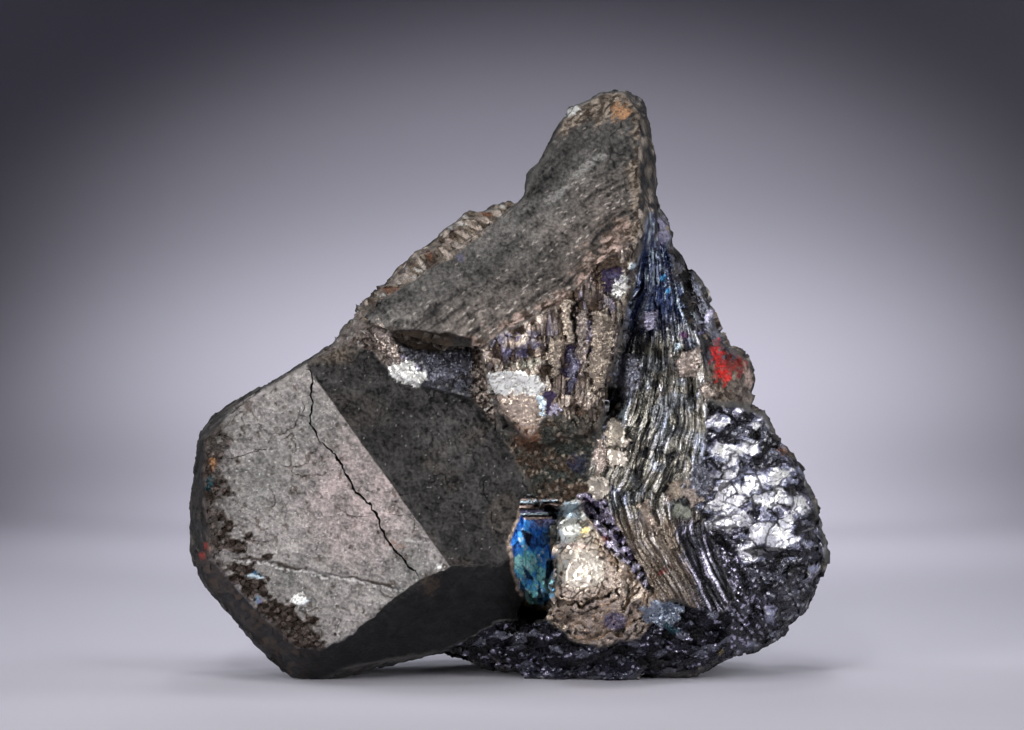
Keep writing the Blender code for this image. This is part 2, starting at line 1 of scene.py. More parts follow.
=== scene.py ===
"""Native bismuth: a cleaved, bent and tarnished mass on a pale studio floor.

The work is done in millimetres in the front view's own layout: +X right, +Z up,
and the camera looks along +Y. Meshes become metres at the end.
"""
import itertools
import math

import bmesh
import bpy
import numpy as np
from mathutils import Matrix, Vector, bvhtree


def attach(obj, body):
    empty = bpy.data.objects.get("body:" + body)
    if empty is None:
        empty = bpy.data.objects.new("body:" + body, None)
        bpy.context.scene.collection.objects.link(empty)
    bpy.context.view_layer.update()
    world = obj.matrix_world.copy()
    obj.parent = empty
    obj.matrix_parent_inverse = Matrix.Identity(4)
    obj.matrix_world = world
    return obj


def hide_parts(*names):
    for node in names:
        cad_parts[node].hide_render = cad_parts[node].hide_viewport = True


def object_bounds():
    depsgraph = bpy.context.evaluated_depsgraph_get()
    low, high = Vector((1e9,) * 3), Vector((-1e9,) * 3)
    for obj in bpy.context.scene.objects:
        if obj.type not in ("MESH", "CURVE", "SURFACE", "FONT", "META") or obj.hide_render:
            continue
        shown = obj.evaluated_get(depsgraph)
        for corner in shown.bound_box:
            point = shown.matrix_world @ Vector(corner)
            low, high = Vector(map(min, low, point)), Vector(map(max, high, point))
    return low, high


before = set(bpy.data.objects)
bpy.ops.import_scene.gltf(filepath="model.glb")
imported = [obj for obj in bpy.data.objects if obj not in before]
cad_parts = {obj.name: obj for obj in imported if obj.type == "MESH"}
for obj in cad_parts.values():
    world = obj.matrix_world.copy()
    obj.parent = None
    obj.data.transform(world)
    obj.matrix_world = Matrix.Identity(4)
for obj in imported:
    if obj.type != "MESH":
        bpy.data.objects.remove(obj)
cad_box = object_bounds()

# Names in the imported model, the layout and the camera
MM = 0.001
NODE = "bismuth_specimen"
LAYOUT_SHIFT = np.array([0.527, 0.803, 0.0])
EYE = np.array([0.79, -321.0, 34.85])
LENS = 100.0
SENSOR = 36.0

# Fineness of the body and of the grid over its front
BODY_VOXEL = 0.27
BODY_TRIANGLES = 185000
GRID = 0.11
BLOCK = 4
GRID_BOX = ((-36.5, -1.5), (38.0, 67.0))

# How the skins and the body lie over each other
OVERLAP = 0.35
SKIN = 1.3
SKIN_LIFT = -0.04
RIM_SINK = 0.55
FLAT_REACH = 3
BODY_UNDER_SKIN = -0.95
BODY_RELIEF = (-0.6, 0.5)
STEEPEST = 3.2
SHARP_EDGE = math.radians(32)
BOX_MARGIN = 0.005

# Studio
FLOOR_RADIUS = 330.0
FLOOR_DROP = 0.02
WALL_BEND = 420.0
WALL_TOP = 1100.0
BEAM_SPREAD = math.radians(60)
LIGHT_AIM = 28.0
SPOT_RADIUS = 30.0

# Large flat faces, each through three points, and the ridge between the first two
PALE_FACE = ((-32.4, -11.5, 27.3), (-21.6, -14.5, 35.1), (-5.8, -17.5, 13.3))
DARK_FACE = ((-21.6, -14.5, 35.1), (-5.8, -17.5, 13.3), (3.0, -12.8, 22.3))
RIDGE = ((-22.66, 35.11), (-6.18, 12.06))
PEAK_FACE = ((-12.8, -16.5, 38.2), (12.9, -4.5, 65.6), (-2.6, -18.0, 36.9))
FLAT_FACES = ((("pale", "dark"), (PALE_FACE, DARK_FACE)), (("peak",), (PEAK_FACE,)))

# Outlines of the front's regions as the camera sees them on the plane y = 0, as (x, z)
OUTLINES = {
    "pale": ((-33.9, 27.5), (-29.7, 30.9), (-25.2, 33.4), (-22.3, 35.2), (-6.0, 12.2), (-9.6, 10.6),
        (-12.1, 9.0), (-18.1, 3.8), (-20.7, 2.7), (-23.6, 2.9), (-28.8, 7.9), (-33.6, 13.2),
        (-34.1, 21.9)),
    "dark": ((-22.3, 35.2), (-18.1, 37.1), (-15.0, 36.3), (-12.4, 33.6), (-8.5, 32.3), (-4.0, 31.1),
        (-0.6, 27.5), (1.7, 23.0), (3.0, 19.6), (1.9, 14.5), (-0.6, 12.2), (-6.0, 12.2)),
    "peak": ((-16.4, 39.9), (-12.8, 38.2), (-7.3, 36.8), (-2.8, 36.8), (-0.6, 38.8), (6.2, 42.0),
        (10.7, 46.5), (15.0, 49.2), (15.6, 53.9), (15.3, 63.4), (13.2, 65.9), (10.7, 65.5), (7.1, 63.3),
        (4.9, 59.6), (2.8, 54.9), (1.8, 53.4), (-5.6, 47.2), (-14.6, 41.7)),
    "under": ((-33.6, 13.2), (-28.8, 7.9), (-23.6, 2.9), (-20.7, 2.7), (-18.1, 3.8), (-12.1, 9.0),
        (-9.6, 10.6), (-6.0, 12.2), (-0.6, 12.2), (1.9, 14.5), (0.8, 12.6), (1.7, 9.5), (2.8, 8.0),
        (4.9, 7.2), (4.6, 6.3), (-0.6, 6.1), (-7.3, 2.5), (-11.9, 1.8), (-18.1, 0.7), (-20.9, -0.7),
        (-23.6, -0.7), (-36.0, 13.2)),
    "gold": ((-2.8, 36.3), (-0.6, 38.3), (6.2, 41.8), (10.7, 46.2), (15.2, 49.2), (15.2, 46.5),
        (14.1, 42.2), (12.8, 37.1), (11.6, 31.5), (10.5, 27.5), (9.0, 26.4), (6.2, 29.2), (4.5, 28.9),
        (2.6, 26.4), (0.3, 28.6), (-1.7, 32.6)),
    "ribbon": ((15.2, 46.5), (16.0, 52.0), (16.9, 51.9), (18.8, 46.5), (20.9, 42.2), (22.2, 37.1),
        (22.9, 30.9), (22.5, 25.3), (21.3, 19.6), (24.3, 12.8), (26.0, 8.3), (24.5, 7.0), (20.9, 7.0),
        (17.9, 7.9), (15.2, 11.1), (12.1, 15.7), (9.6, 19.4), (9.4, 23.0), (10.7, 26.9), (12.1, 31.5),
        (13.2, 36.5), (14.3, 42.2)),
    "lump": ((5.8, 19.0), (8.7, 19.7), (10.7, 18.5), (14.1, 14.5), (16.9, 10.0), (17.9, 8.1), (16.9, 5.8),
        (15.2, 4.0), (10.7, 3.1), (7.6, 3.8), (4.6, 6.3), (5.2, 9.5), (5.2, 14.5)),
    "pocket": ((1.8, 18.3), (0.6, 14.9), (0.8, 12.6), (1.7, 9.5), (2.8, 8.1), (4.7, 7.6), (5.5, 9.5),
        (5.3, 14.5), (5.9, 17.4), (5.3, 19.0), (2.6, 19.3)),
    "throat": ((-0.6, 27.5), (2.6, 26.4), (4.5, 28.9), (6.2, 29.2), (9.0, 26.4), (10.5, 27.5),
        (9.4, 23.0), (9.6, 19.4), (6.2, 19.0), (2.6, 19.3), (3.0, 21.9), (1.7, 23.0)),
    "dome": ((22.7, 30.9), (26.0, 30.0), (29.0, 29.1), (33.3, 23.6), (35.0, 18.5), (36.2, 14.5),
        (36.2, 11.1), (34.0, 6.6), (30.6, 3.6), (25.4, 1.6), (22.0, 3.8), (26.0, 8.3), (24.3, 12.8),
        (21.3, 19.6), (22.5, 25.3)),
    "shelf": ((-7.3, 2.5), (-0.6, 6.1), (4.6, 6.3), (7.6, 3.8), (10.7, 3.1), (15.2, 4.0), (17.9, 8.1),
        (24.5, 7.0), (26.0, 8.3), (25.4, 1.6), (22.0, 0.4), (13.0, -0.9), (4.0, -0.9), (-0.6, 0.2)),
    "shoulder": ((16.9, 52.6), (19.5, 49.0), (22.0, 43.9), (25.4, 37.1), (28.4, 33.7), (28.2, 30.3),
        (22.7, 30.9), (22.2, 37.1), (20.9, 42.2), (18.8, 46.5), (16.9, 49.9)),
    "ledge": ((-22.3, 35.2), (-19.8, 37.9), (-17.3, 39.9), (-15.0, 39.7), (-12.8, 38.2), (-7.3, 36.8),
        (-2.8, 36.8), (-1.7, 32.6), (-0.6, 27.5), (-4.0, 31.1), (-8.5, 32.3), (-12.4, 33.6),
        (-15.0, 36.3), (-18.1, 37.1)),
    "rim": ((-17.3, 39.7), (-17.2, 42.2), (-15.0, 43.5), (-10.7, 47.3), (-7.3, 50.1), (-4.5, 52.1),
        (0.3, 53.7), (2.0, 53.4), (-5.6, 47.2), (-14.6, 41.7), (-16.1, 40.2)),
    "glitter": ((8.2, 20.3), (9.6, 20.7), (11.3, 19.6), (12.1, 17.9), (13.2, 15.7), (14.3, 13.7),
        (16.1, 11.1), (16.9, 9.4), (16.1, 9.4), (14.1, 11.9), (11.9, 14.0), (10.5, 16.2), (9.1, 18.3)),
    "under_peak": ((-12.9, 38.6), (-10.7, 39.0), (-7.3, 38.5), (-3.6, 38.1), (-3.9, 36.5), (-7.3, 36.3),
        (-10.2, 36.5), (-12.1, 37.2)),
    "strip": ((15.2, 65.3), (16.6, 63.6), (17.2, 55.7), (17.3, 49.0), (16.4, 47.8), (15.0, 49.0),
        (15.2, 55.7), (15.0, 62.5)),
}

# The fine front pieces and the regions that each one covers
FRONT_PIECES = {
    "detail_pale_slab": ("pale", "under"),
    "detail_dark_slab": ("dark", "ledge", "under_peak"),
    "detail_peak_slab": ("peak", "rim", "strip"),
    "detail_gold_facet": ("gold", "throat"),
    "detail_lamellae": ("ribbon", "shoulder", "glitter"),
    "detail_lump": ("lump", "pocket", "shelf"),
    "detail_dome": ("dome",),
}

# Both edges of the bent lamellae and the lines that rise across the peak slab
LAMELLAE_LEFT = ((16.9, 53.5), (16.6, 49.0), (16.4, 43.3), (15.2, 39.9), (14.3, 35.4),
                 (13.2, 30.9), (11.4, 27.5), (10.4, 24.1), (9.2, 20.7), (10.7, 15.6),
                 (13.5, 11.3), (16.9, 7.6))
LAMELLAE_RIGHT = ((18.0, 52.5), (18.6, 47.8), (19.7, 43.3), (21.0, 38.8), (22.2, 33.2),
                  (22.7, 27.5), (21.8, 22.5), (19.9, 18.4), (20.2, 15.4), (22.0, 11.3),
                  (24.6, 6.6))
PEAK_EDGE = ((-2.8, 36.6), (1.7, 38.8), (6.2, 41.1), (8.5, 43.3), (10.7, 46.5), (13.5, 50.1))
PEAK_RIGHT = ((13.2, 65.9), (14.6, 63.4), (15.0, 53.9), (14.6, 49.6))
STRIATION_ANGLE = 35.0
LEDGE_LINE = ((-31.5, 13.6), (-30.5, 13.3), (-27.5, 12.9), (-22.1, 11.7), (-16.9, 10.8), (-12.1, 9.8))
LUMP_MIDDLE = (8.3, 13.4)
LUMP_TOP = ((4.0, 18.4), (6.0, 19.4), (7.4, 19.9), (8.6, 19.7), (9.4, 17.4), (10.4, 15.2),
            (11.2, 13.6), (12.0, 12.2), (11.6, 10.2), (10.2, 8.9), (7.6, 8.3), (5.8, 9.2),
            (5.2, 12.0), (4.9, 15.0))
CRUST_BORDER = ((-33.4, 23.0), (-32.6, 18.0), (-30.2, 12.5), (-26.0, 7.6), (-21.5, 3.6))
# Line along the peak's lower edge; a painted shadow lies just under it
NOTCH_LINE = ((-12.9, 38.4), (-7.3, 37.0), (-2.8, 36.8))
POCKET_LAYERS = ((1.9, 20.3), (6.4, 20.2), (6.3, 18.6), (5.6, 17.5), (2.2, 17.3), (1.5, 18.4))
DOME_GASH = ((27.0, 13.9), (28.0, 14.4), (33.2, 13.8), (33.0, 13.1), (28.0, 13.2))
# Middles and half sizes of the painted reflections on the dome's cleavages
DOME_REFLECTIONS = ((25.5, 24.7, 2.0, 1.6), (25.0, 21.0, 3.0, 3.0), (28.2, 21.2, 2.4, 1.9),
               (31.4, 22.0, 2.2, 2.0), (29.8, 16.6, 3.2, 2.7), (25.2, 16.4, 2.6, 1.6),
               (21.6, 15.2, 1.6, 1.0), (27.6, 13.4, 1.8, 1.0), (30.6, 18.8, 2.6, 1.2),
               (33.4, 18.6, 1.2, 1.8), (27.6, 25.6, 1.2, 0.9))

# Fissures on the front faces: width and depth at the surface, then the points
FISSURES = (
    (0.20, 0.85, ((-22.2, 34.9), (-21.7, 33.6), (-21.9, 31.9), (-21.7, 30.3), (-22.0, 29.1),
        (-21.9, 28.2), (-21.4, 27.2), (-21.0, 26.3), (-20.7, 25.9))),
    (0.24, 0.85, ((-20.9, 26.2), (-20.0, 25.5), (-19.1, 24.8), (-18.6, 23.7), (-18.0, 22.8),
        (-17.3, 21.3), (-16.8, 20.5), (-16.1, 19.8), (-15.3, 19.2), (-15.0, 18.5), (-14.3, 17.5),
        (-13.9, 16.2), (-13.5, 15.4), (-12.8, 14.4), (-11.9, 13.4), (-10.9, 12.2), (-10.2, 11.6),
        (-9.7, 10.9))),
    (0.12, 0.6, ((-22.9, 30.9), (-22.7, 30.1), (-22.9, 29.4), (-22.3, 28.8))),
    (0.10, 0.4, ((-33.0, 24.7), (-31.8, 24.3), (-29.9, 24.5), (-28.6, 25.0), (-27.7, 25.3),
        (-25.6, 25.4))),
    (0.10, 0.4, ((-18.4, 18.0), (-16.2, 17.7), (-14.9, 17.9))),
    (0.10, 0.4, ((-13.2, 17.9), (-11.5, 17.9), (-9.8, 17.4))),
)

# Colours of the metal, its tarnish and its crusts; the wedge tone is the painted shadow on the dark face,
# and the light tones serve also for painted glints and reflections
TONES = {
    "slab": (0.090, 0.086, 0.083), "pale": (0.262, 0.240, 0.236), "wedge": (0.040, 0.038, 0.038),
    "under": (0.0075, 0.0072, 0.0080), "crust": (0.034, 0.030, 0.028),
    "white": (0.86, 0.86, 0.84), "cream": (0.78, 0.70, 0.61), "cream_cold": (0.74, 0.755, 0.72),
    "gold": (0.30, 0.215, 0.150), "gold_pale": (0.53, 0.435, 0.37), "brass": (0.55, 0.44, 0.18),
    "rust": (0.22, 0.10, 0.055), "umber": (0.050, 0.034, 0.025), "tan": (0.33, 0.275, 0.225),
    "pearl": (0.44, 0.43, 0.42), "pinkgrey": (0.38, 0.32, 0.29), "blush": (0.55, 0.41, 0.36),
    "lavender": (0.24, 0.23, 0.32), "lilac": (0.62, 0.58, 0.76), "violet": (0.12, 0.112, 0.20),
    "plum": (0.040, 0.028, 0.065), "magenta": (0.14, 0.05, 0.13), "midnight": (0.025, 0.028, 0.07),
    "azure": (0.07, 0.28, 0.52), "ice": (0.56, 0.68, 0.78), "teal": (0.012, 0.055, 0.070),
    "slate": (0.155, 0.160, 0.20), "silver": (0.78, 0.78, 0.86), "sage": (0.22, 0.23, 0.20),
    "moss": (0.050, 0.055, 0.050), "red": (0.50, 0.020, 0.018), "garnet": (0.20, 0.022, 0.018),
    "orange": (0.48, 0.27, 0.14), "steel": (0.26, 0.30, 0.38),
    "black": (0.012, 0.0115, 0.013), "night": (0.022, 0.022, 0.034),
    "navy": (0.008, 0.022, 0.085), "cobalt": (0.030, 0.20, 0.60), "sky": (0.16, 0.55, 0.98),
    "aqua": (0.32, 0.80, 0.95), "champagne": (0.52, 0.475, 0.41), "olive": (0.135, 0.130, 0.112),
}
TONES = {name: np.array(colour) for name, colour in TONES.items()}

# Roughness, grain, sparkle and metal share of each surface
MATT = (0.52, 0.46, 0.45, 0.45)
CRUST = (0.40, 0.60, 0.65, 0.55)
CLEAN = (0.27, 0.22, 0.25, 0.70)
CRYSTAL = (0.20, 0.30, 0.75, 0.80)
TARNISH = (0.22, 0.25, 0.60, 0.30)
SATIN = (0.30, 0.08, 0.06, 0.60)
SOOTY = (0.62, 0.55, 0.20, 0.15)

# Cleavage facets of the front: tone, lift, tilt in x and z, stripe angle (0 is none), outline; the white
# ones are painted reflections
PLATES = (
    # Painted reflection: the bright patch on the left of the gold facet, in two parts
    ("white", 0.30, 0.10, 0.05, 0, ((-2.1, 33.6), (-1.1, 34.5), (0.2, 34.2), (1.1, 32.7), (0.6, 31.4),
        (-1.2, 31.2), (-2.0, 32.0))),
    ("white", 0.45, -0.05, 0.10, 0, ((-0.3, 34.5), (1.7, 34.2), (2.8, 33.5), (4.3, 33.7), (4.7, 32.3),
        (3.7, 31.0), (1.9, 30.8), (0.5, 31.7), (-0.0, 33.2))),
    ("gold_pale", 0.20, 0.00, 0.15, 0, ((-1.5, 31.4), (0.6, 31.7), (4.0, 31.4), (4.4, 30.2), (3.7, 28.4),
        (2.3, 27.5), (0.7, 28.8), (-0.7, 30.0))),
    ("tan", 0.50, -0.25, 0.00, 90, ((5.0, 38.0), (6.3, 38.3), (6.5, 36.0), (6.1, 33.4), (5.0, 33.2),
        (4.6, 35.6))),
    ("tan", 0.70, -0.15, 0.00, 90, ((6.4, 42.0), (7.7, 42.3), (7.8, 37.1), (6.9, 36.5), (6.3, 39.4))),
    ("black", -0.60, 0.00, 0.00, 0, ((7.7, 42.2), (8.1, 42.3), (8.1, 37.1), (7.7, 36.9))),
    ("pinkgrey", 0.60, -0.10, 0.00, 90, ((8.1, 40.9), (9.4, 41.2), (9.5, 37.7), (9.3, 33.8), (8.2, 33.6),
        (8.0, 37.1))),
    ("tan", 0.70, -0.08, 0.04, 88, ((9.7, 40.8), (11.7, 41.5), (12.2, 38.8), (12.1, 35.4), (11.3, 32.3),
        (9.8, 31.5), (9.4, 34.3), (9.5, 37.7))),
    ("plum", -0.50, 0.00, 0.00, 0, ((6.9, 36.8), (7.9, 37.2), (8.1, 34.1), (7.7, 31.5), (6.8, 31.8),
        (6.7, 34.3))),
    ("lavender", -0.10, -0.20, 0.00, 90, ((7.2, 36.3), (8.1, 36.3), (8.4, 33.7), (7.8, 31.8),
        (7.0, 32.0))),
    ("ice", 0.60, -0.30, 0.00, 0, ((3.7, 31.1), (4.4, 31.9), (4.6, 30.4), (4.4, 28.9), (3.8, 29.2))),
    ("plum", 0.50, 0.30, 0.00, 0, ((4.4, 31.9), (5.4, 32.3), (5.8, 30.9), (5.0, 29.5), (4.5, 28.9),
        (4.5, 30.4))),
    ("lilac", 0.80, -0.10, 0.20, 0, ((5.0, 29.5), (5.8, 30.7), (6.4, 30.1), (6.0, 29.3), (4.9, 28.8))),
    ("umber", -0.40, 0.00, 0.00, 0, ((4.0, 35.2), (4.9, 35.4), (5.3, 34.1), (4.5, 33.2), (3.8, 33.8))),
    ("plum", -0.70, 0.10, 0.00, 0, ((10.9, 45.8), (12.1, 46.2), (13.2, 45.8), (14.1, 44.7), (13.9, 43.3),
        (12.8, 42.5), (11.4, 43.1), (10.8, 44.4))),
    ("pearl", -0.45, -0.10, 0.10, 0, ((12.1, 44.9), (13.9, 45.0), (14.1, 43.3), (13.0, 42.2),
        (12.1, 42.6))),
    ("umber", 0.20, 0.00, -0.30, 0, ((10.0, 45.6), (10.9, 46.7), (12.5, 47.0), (13.7, 46.5), (13.2, 45.8),
        (11.4, 46.0), (10.5, 44.9))),
    # Painted reflection: the bright patch just under the peak's lower edge
    ("white", 0.20, 0.00, 0.05, -50, ((-13.2, 34.5), (-12.1, 35.5), (-10.4, 35.3), (-8.9, 33.8),
        (-8.9, 32.8), (-10.5, 32.4), (-12.0, 32.9), (-13.0, 33.5))),
    ("lilac", 0.10, 0.20, 0.20, -50, ((-12.1, 35.6), (-11.4, 36.2), (-9.4, 34.6), (-8.8, 33.8),
        (-10.4, 35.3))),
    ("pinkgrey", 0.15, 0.05, 0.00, -52, ((-15.5, 39.5), (-14.1, 39.9), (-12.3, 37.1), (-11.2, 35.9),
        (-12.2, 35.0), (-13.9, 36.3))),
    ("slate", -0.10, 0.00, 0.10, 20, ((-9.1, 35.9), (-6.8, 36.2), (-4.0, 36.4), (-3.8, 33.8),
        (-6.2, 33.2), (-8.8, 33.3))),
    ("cream", 0.60, 0.10, 0.10, -45, ((11.3, 28.6), (12.2, 29.1), (13.2, 28.2), (14.1, 25.9),
        (13.2, 25.3), (11.7, 25.8), (11.2, 27.3))),
    ("cream", 0.80, -0.10, 0.15, 0, ((11.4, 25.0), (12.8, 25.5), (14.0, 25.1), (14.0, 23.9), (13.0, 23.2),
        (11.6, 23.3))),
    ("cream", 0.70, 0.10, 0.20, -30, ((9.1, 21.4), (9.8, 22.4), (10.8, 22.7), (11.7, 21.6), (11.6, 20.0),
        (10.7, 19.4), (9.5, 20.2))),
    ("pinkgrey", 0.30, 0.00, 0.00, 80, ((10.4, 26.4), (11.5, 26.6), (11.7, 23.5), (10.4, 22.3),
        (9.8, 23.9))),
    ("lavender", 0.50, 0.00, 0.10, 3, ((15.2, 40.7), (17.2, 41.3), (17.3, 39.0), (16.3, 38.6),
        (15.1, 38.8))),
    ("slate", 0.20, 0.00, 0.00, 78, ((12.5, 34.9), (13.9, 36.3), (15.3, 35.9), (15.3, 33.2), (14.3, 31.0),
        (12.6, 31.2))),
    ("pinkgrey", 0.70, -0.10, 0.10, 17, ((19.8, 36.5), (22.2, 37.1), (22.1, 34.9), (20.9, 33.0),
        (19.5, 33.3), (19.4, 35.2))),
    ("pinkgrey", 0.60, -0.10, 0.10, 12, ((22.0, 32.7), (23.6, 33.0), (23.7, 31.6), (22.7, 30.8),
        (21.9, 31.4))),
    ("gold_pale", 0.50, 0.20, 0.00, -45, ((14.9, 19.2), (16.1, 19.6), (17.6, 16.2), (16.8, 15.8),
        (15.2, 17.8))),
    ("tan", 0.40, -0.20, 0.10, 0, ((18.5, 21.2), (19.6, 21.9), (20.4, 20.5), (19.8, 19.3), (18.6, 19.7))),
    ("pinkgrey", 0.50, 0.20, 0.10, 0, ((20.2, 22.1), (22.1, 20.7), (22.3, 19.5), (21.1, 18.7),
        (20.1, 20.2))),
    ("sage", 0.30, 0.00, 0.20, 0, ((19.0, 19.3), (20.9, 19.0), (21.0, 17.5), (19.4, 17.9))),
    ("lavender", 0.60, -0.10, 0.10, 0, ((17.2, 51.0), (17.9, 52.1), (19.0, 51.4), (19.1, 49.0),
        (17.9, 48.4), (17.2, 49.5))),
    ("black", 0.40, 0.10, 0.00, 0, ((18.7, 47.8), (20.0, 48.2), (20.4, 47.2), (19.8, 46.5),
        (18.8, 46.5))),
    ("black", -1.00, 0.00, 0.00, 0, ((20.0, 46.2), (20.9, 46.5), (21.3, 42.2), (21.4, 38.8), (20.9, 38.3),
        (20.1, 41.1))),
    ("slate", 0.50, 0.12, 0.05, -62, ((20.9, 46.0), (21.6, 45.6), (23.1, 42.2), (24.5, 38.2),
        (24.9, 36.9), (23.8, 37.1), (22.5, 38.6), (21.6, 41.3), (21.0, 43.9))),
    ("ice", 0.50, 0.10, 0.10, 0, ((5.8, 18.6), (6.9, 19.6), (8.2, 19.7), (8.7, 17.8), (7.1, 17.4),
        (5.9, 17.5))),
    ("cream_cold", 0.55, -0.05, 0.08, 0, ((5.1, 16.6), (6.0, 17.4), (8.1, 17.5), (8.8, 16.0), (8.0, 14.6),
        (6.2, 14.4), (5.2, 15.2))),
    ("cream", 0.70, 0.02, 0.05, 0, ((5.9, 13.6), (7.6, 14.2), (9.9, 13.9), (11.3, 12.6), (11.2, 10.7),
        (9.8, 9.7), (7.3, 9.5), (6.0, 10.8))),
    ("gold_pale", 0.50, 0.20, 0.10, -50, ((11.2, 13.3), (12.8, 11.7), (13.8, 10.2), (12.1, 9.3),
        (10.7, 8.8), (11.2, 10.8))),
    ("slate", 0.30, -0.25, 0.00, 75, ((21.0, 23.5), (22.7, 23.8), (23.6, 22.3), (23.4, 20.4),
        (21.7, 19.6), (20.8, 21.2))),
    ("steel", 0.30, 0.00, 0.15, 5, ((15.3, 7.4), (16.6, 8.2), (18.4, 8.4), (20.4, 7.6), (19.8, 6.0),
        (17.9, 5.1), (15.8, 5.7))),
    # Painted highlight near the top of the peak
    ("white", 0.20, 0.10, 0.10, 0, ((6.3, 64.0), (7.8, 64.2), (8.6, 63.4), (7.3, 62.7), (6.4, 62.8))),
)

# Spots of colour on the front, stains and painted glints: tone, strength, middle, half sizes and angle
STAINS_AND_GLINTS = (
    ("violet", 0.80, 1.4, 38.0, 0.68, 0.56, 20),
    ("violet", 0.80, -0.1, 36.2, 0.79, 0.56, -10),
    ("violet", 0.70, 2.1, 36.3, 0.56, 0.68, 0),
    ("lavender", 0.60, 3.4, 37.1, 0.90, 0.56, 0),
    ("lavender", 0.50, -0.0, 37.9, 1.13, 0.68, 30),
    ("sage", 0.70, 2.3, 34.9, 2.71, 0.68, 5),
    ("rust", 0.50, 2.5, 27.1, 1.35, 0.90, -20),
    ("umber", 0.70, 5.0, 34.5, 0.79, 1.02, 0),
    ("moss", 0.60, 7.3, 28.1, 3.16, 1.58, 0),
    ("midnight", 0.60, 8.2, 23.9, 1.47, 1.35, 0),
    # Painted glints: these two ice spots
    ("ice", 0.80, 14.3, 46.1, 0.40, 0.40, 0),
    ("ice", 0.70, 13.4, 29.3, 0.56, 0.79, -30),
    ("violet", 0.60, 12.3, 44.9, 1.02, 0.68, -30),
    ("violet", 0.60, 9.5, 38.2, 2.48, 0.40, 88),
    ("black", 0.70, 14.3, 37.1, 2.71, 1.13, 65),
    ("rust", 0.40, 18.5, 19.8, 0.90, 0.45, 80),
    # Painted glint: brass speck on the shoulder
    ("brass", 0.90, 18.5, 50.3, 0.34, 0.45, 0),
    ("violet", 0.70, 17.6, 48.5, 0.68, 0.45, 80),
    # Painted glints: these two azure spots
    ("azure", 0.80, 17.9, 44.6, 0.56, 0.40, 80),
    ("azure", 0.70, 18.4, 43.2, 0.56, 0.34, 80),
    ("umber", 0.70, 19.3, 45.0, 1.58, 0.79, 85),
    ("lilac", 0.80, 22.9, 40.4, 0.68, 0.45, 80),
    ("violet", 0.80, 22.0, 38.7, 0.68, 0.45, 0),
    ("magenta", 0.60, 20.2, 38.3, 0.90, 0.40, 0),
    # Painted glint
    ("ice", 0.70, 19.4, 36.9, 0.68, 0.45, 60),
    ("red", 0.90, 24.2, 35.0, 2.80, 0.95, -80),
    ("red", 0.80, 24.9, 33.6, 1.20, 0.80, 80),
    ("garnet", 0.90, 26.2, 34.9, 1.90, 1.30, -40),
    ("blush", 0.70, 27.4, 33.5, 1.58, 0.56, -75),
    ("brass", 0.80, 8.9, 16.1, 0.68, 0.79, 0),
    ("blush", 0.50, 7.9, 14.4, 2.26, 0.45, 0),
    ("garnet", 0.70, 11.3, 15.4, 0.68, 0.45, 0),
    ("rust", 0.60, 31.4, 25.5, 0.79, 0.68, 0),
    ("teal", 0.80, 18.8, 5.1, 1.13, 0.56, -20),
    ("brass", 0.80, 24.4, 2.6, 0.34, 0.34, 0),
    ("slate", 0.70, 1.6, 3.8, 1.13, 0.90, 60),
    ("garnet", 0.50, 17.8, 11.5, 1.13, 0.45, 30),
    ("rust", 0.50, -33.9, 14.2, 0.90, 0.68, 80),
    ("azure", 0.50, -27.9, 8.3, 0.34, 0.45, 0),
    # Painted glint
    ("ice", 0.60, -22.9, 8.1, 1.02, 0.56, 10),
    ("rust", 0.40, -33.0, 23.9, 1.35, 0.56, 85),
    # Painted glint
    ("ice", 0.50, -33.7, 28.3, 0.34, 0.45, 0),
    ("azure", 0.40, -28.1, 11.4, 0.34, 0.34, 0),
    ("rust", 0.50, 13.0, 63.4, 1.35, 0.90, -20),
    ("violet", 0.50, -5.1, 46.9, 0.56, 0.56, 0),
    ("umber", 0.50, -8.5, 10.0, 1.58, 1.13, 50),
    ("white", 0.90, -7.4, 12.1, 0.51, 0.45, 0),
    ("pearl", 0.55, -10.2, 15.0, 1.47, 0.16, -8),
    ("rust", 0.40, -12.5, 14.6, 1.47, 0.45, -10),
    # Painted glints: this white patch and the ice streak below
    ("white", 0.90, -23.1, 8.3, 0.90, 0.73, 0),
    ("ice", 0.75, -28.1, 11.0, 1.02, 0.25, -5),
    ("violet", 0.90, -27.7, 8.2, 0.34, 0.34, 0),
    ("orange", 0.85, -33.0, 23.9, 0.34, 0.90, 0),
    ("teal", 0.90, -33.4, 21.5, 0.45, 0.90, 0),
    ("red", 0.50, -34.0, 14.1, 0.40, 0.90, -25),
    # Painted glint at the top-left corner
    ("cream", 0.80, -33.9, 28.6, 0.40, 0.28, 20),
    ("rust", 0.50, -35.6, 14.5, 0.34, 0.56, 0),
    # Painted glints: two pearl streaks on the peak
    ("pearl", 0.35, 9.4, 57.4, 2.71, 0.56, 35),
    ("pearl", 0.30, 5.8, 54.0, 2.03, 0.45, 35),
    ("orange", 0.60, 13.0, 63.4, 1.35, 1.02, 20),
    # Painted glint near the top of the peak
    ("white", 0.90, 7.4, 63.4, 1.02, 0.36, 25),
)
SATIN_TONE = 0.6
CLEAN_TONE = 0.35
STRIPE_PERIOD = 0.42
STRIPE_DEPTH = 0.10
HASH_FACTOR = np.uint64(0x9E3779B97F4A7C15)
NEIGHBOURS = ((0, 1), (0, -1), (1, 1), (1, -1))


# Repeatable noise on arrays of points

def lattice(cell, seed):
    """Repeatable number from 0 to 1 for each whole-number cell."""
    code = np.full(len(cell), seed * 7919 + 17, np.uint64)
    for axis in range(cell.shape[1]):
        code = (code ^ cell[:, axis].astype(np.int64).astype(np.uint64)) * HASH_FACTOR
        code ^= code >> np.uint64(29)
    return (code >> np.uint64(11)) / float(1 << 53)


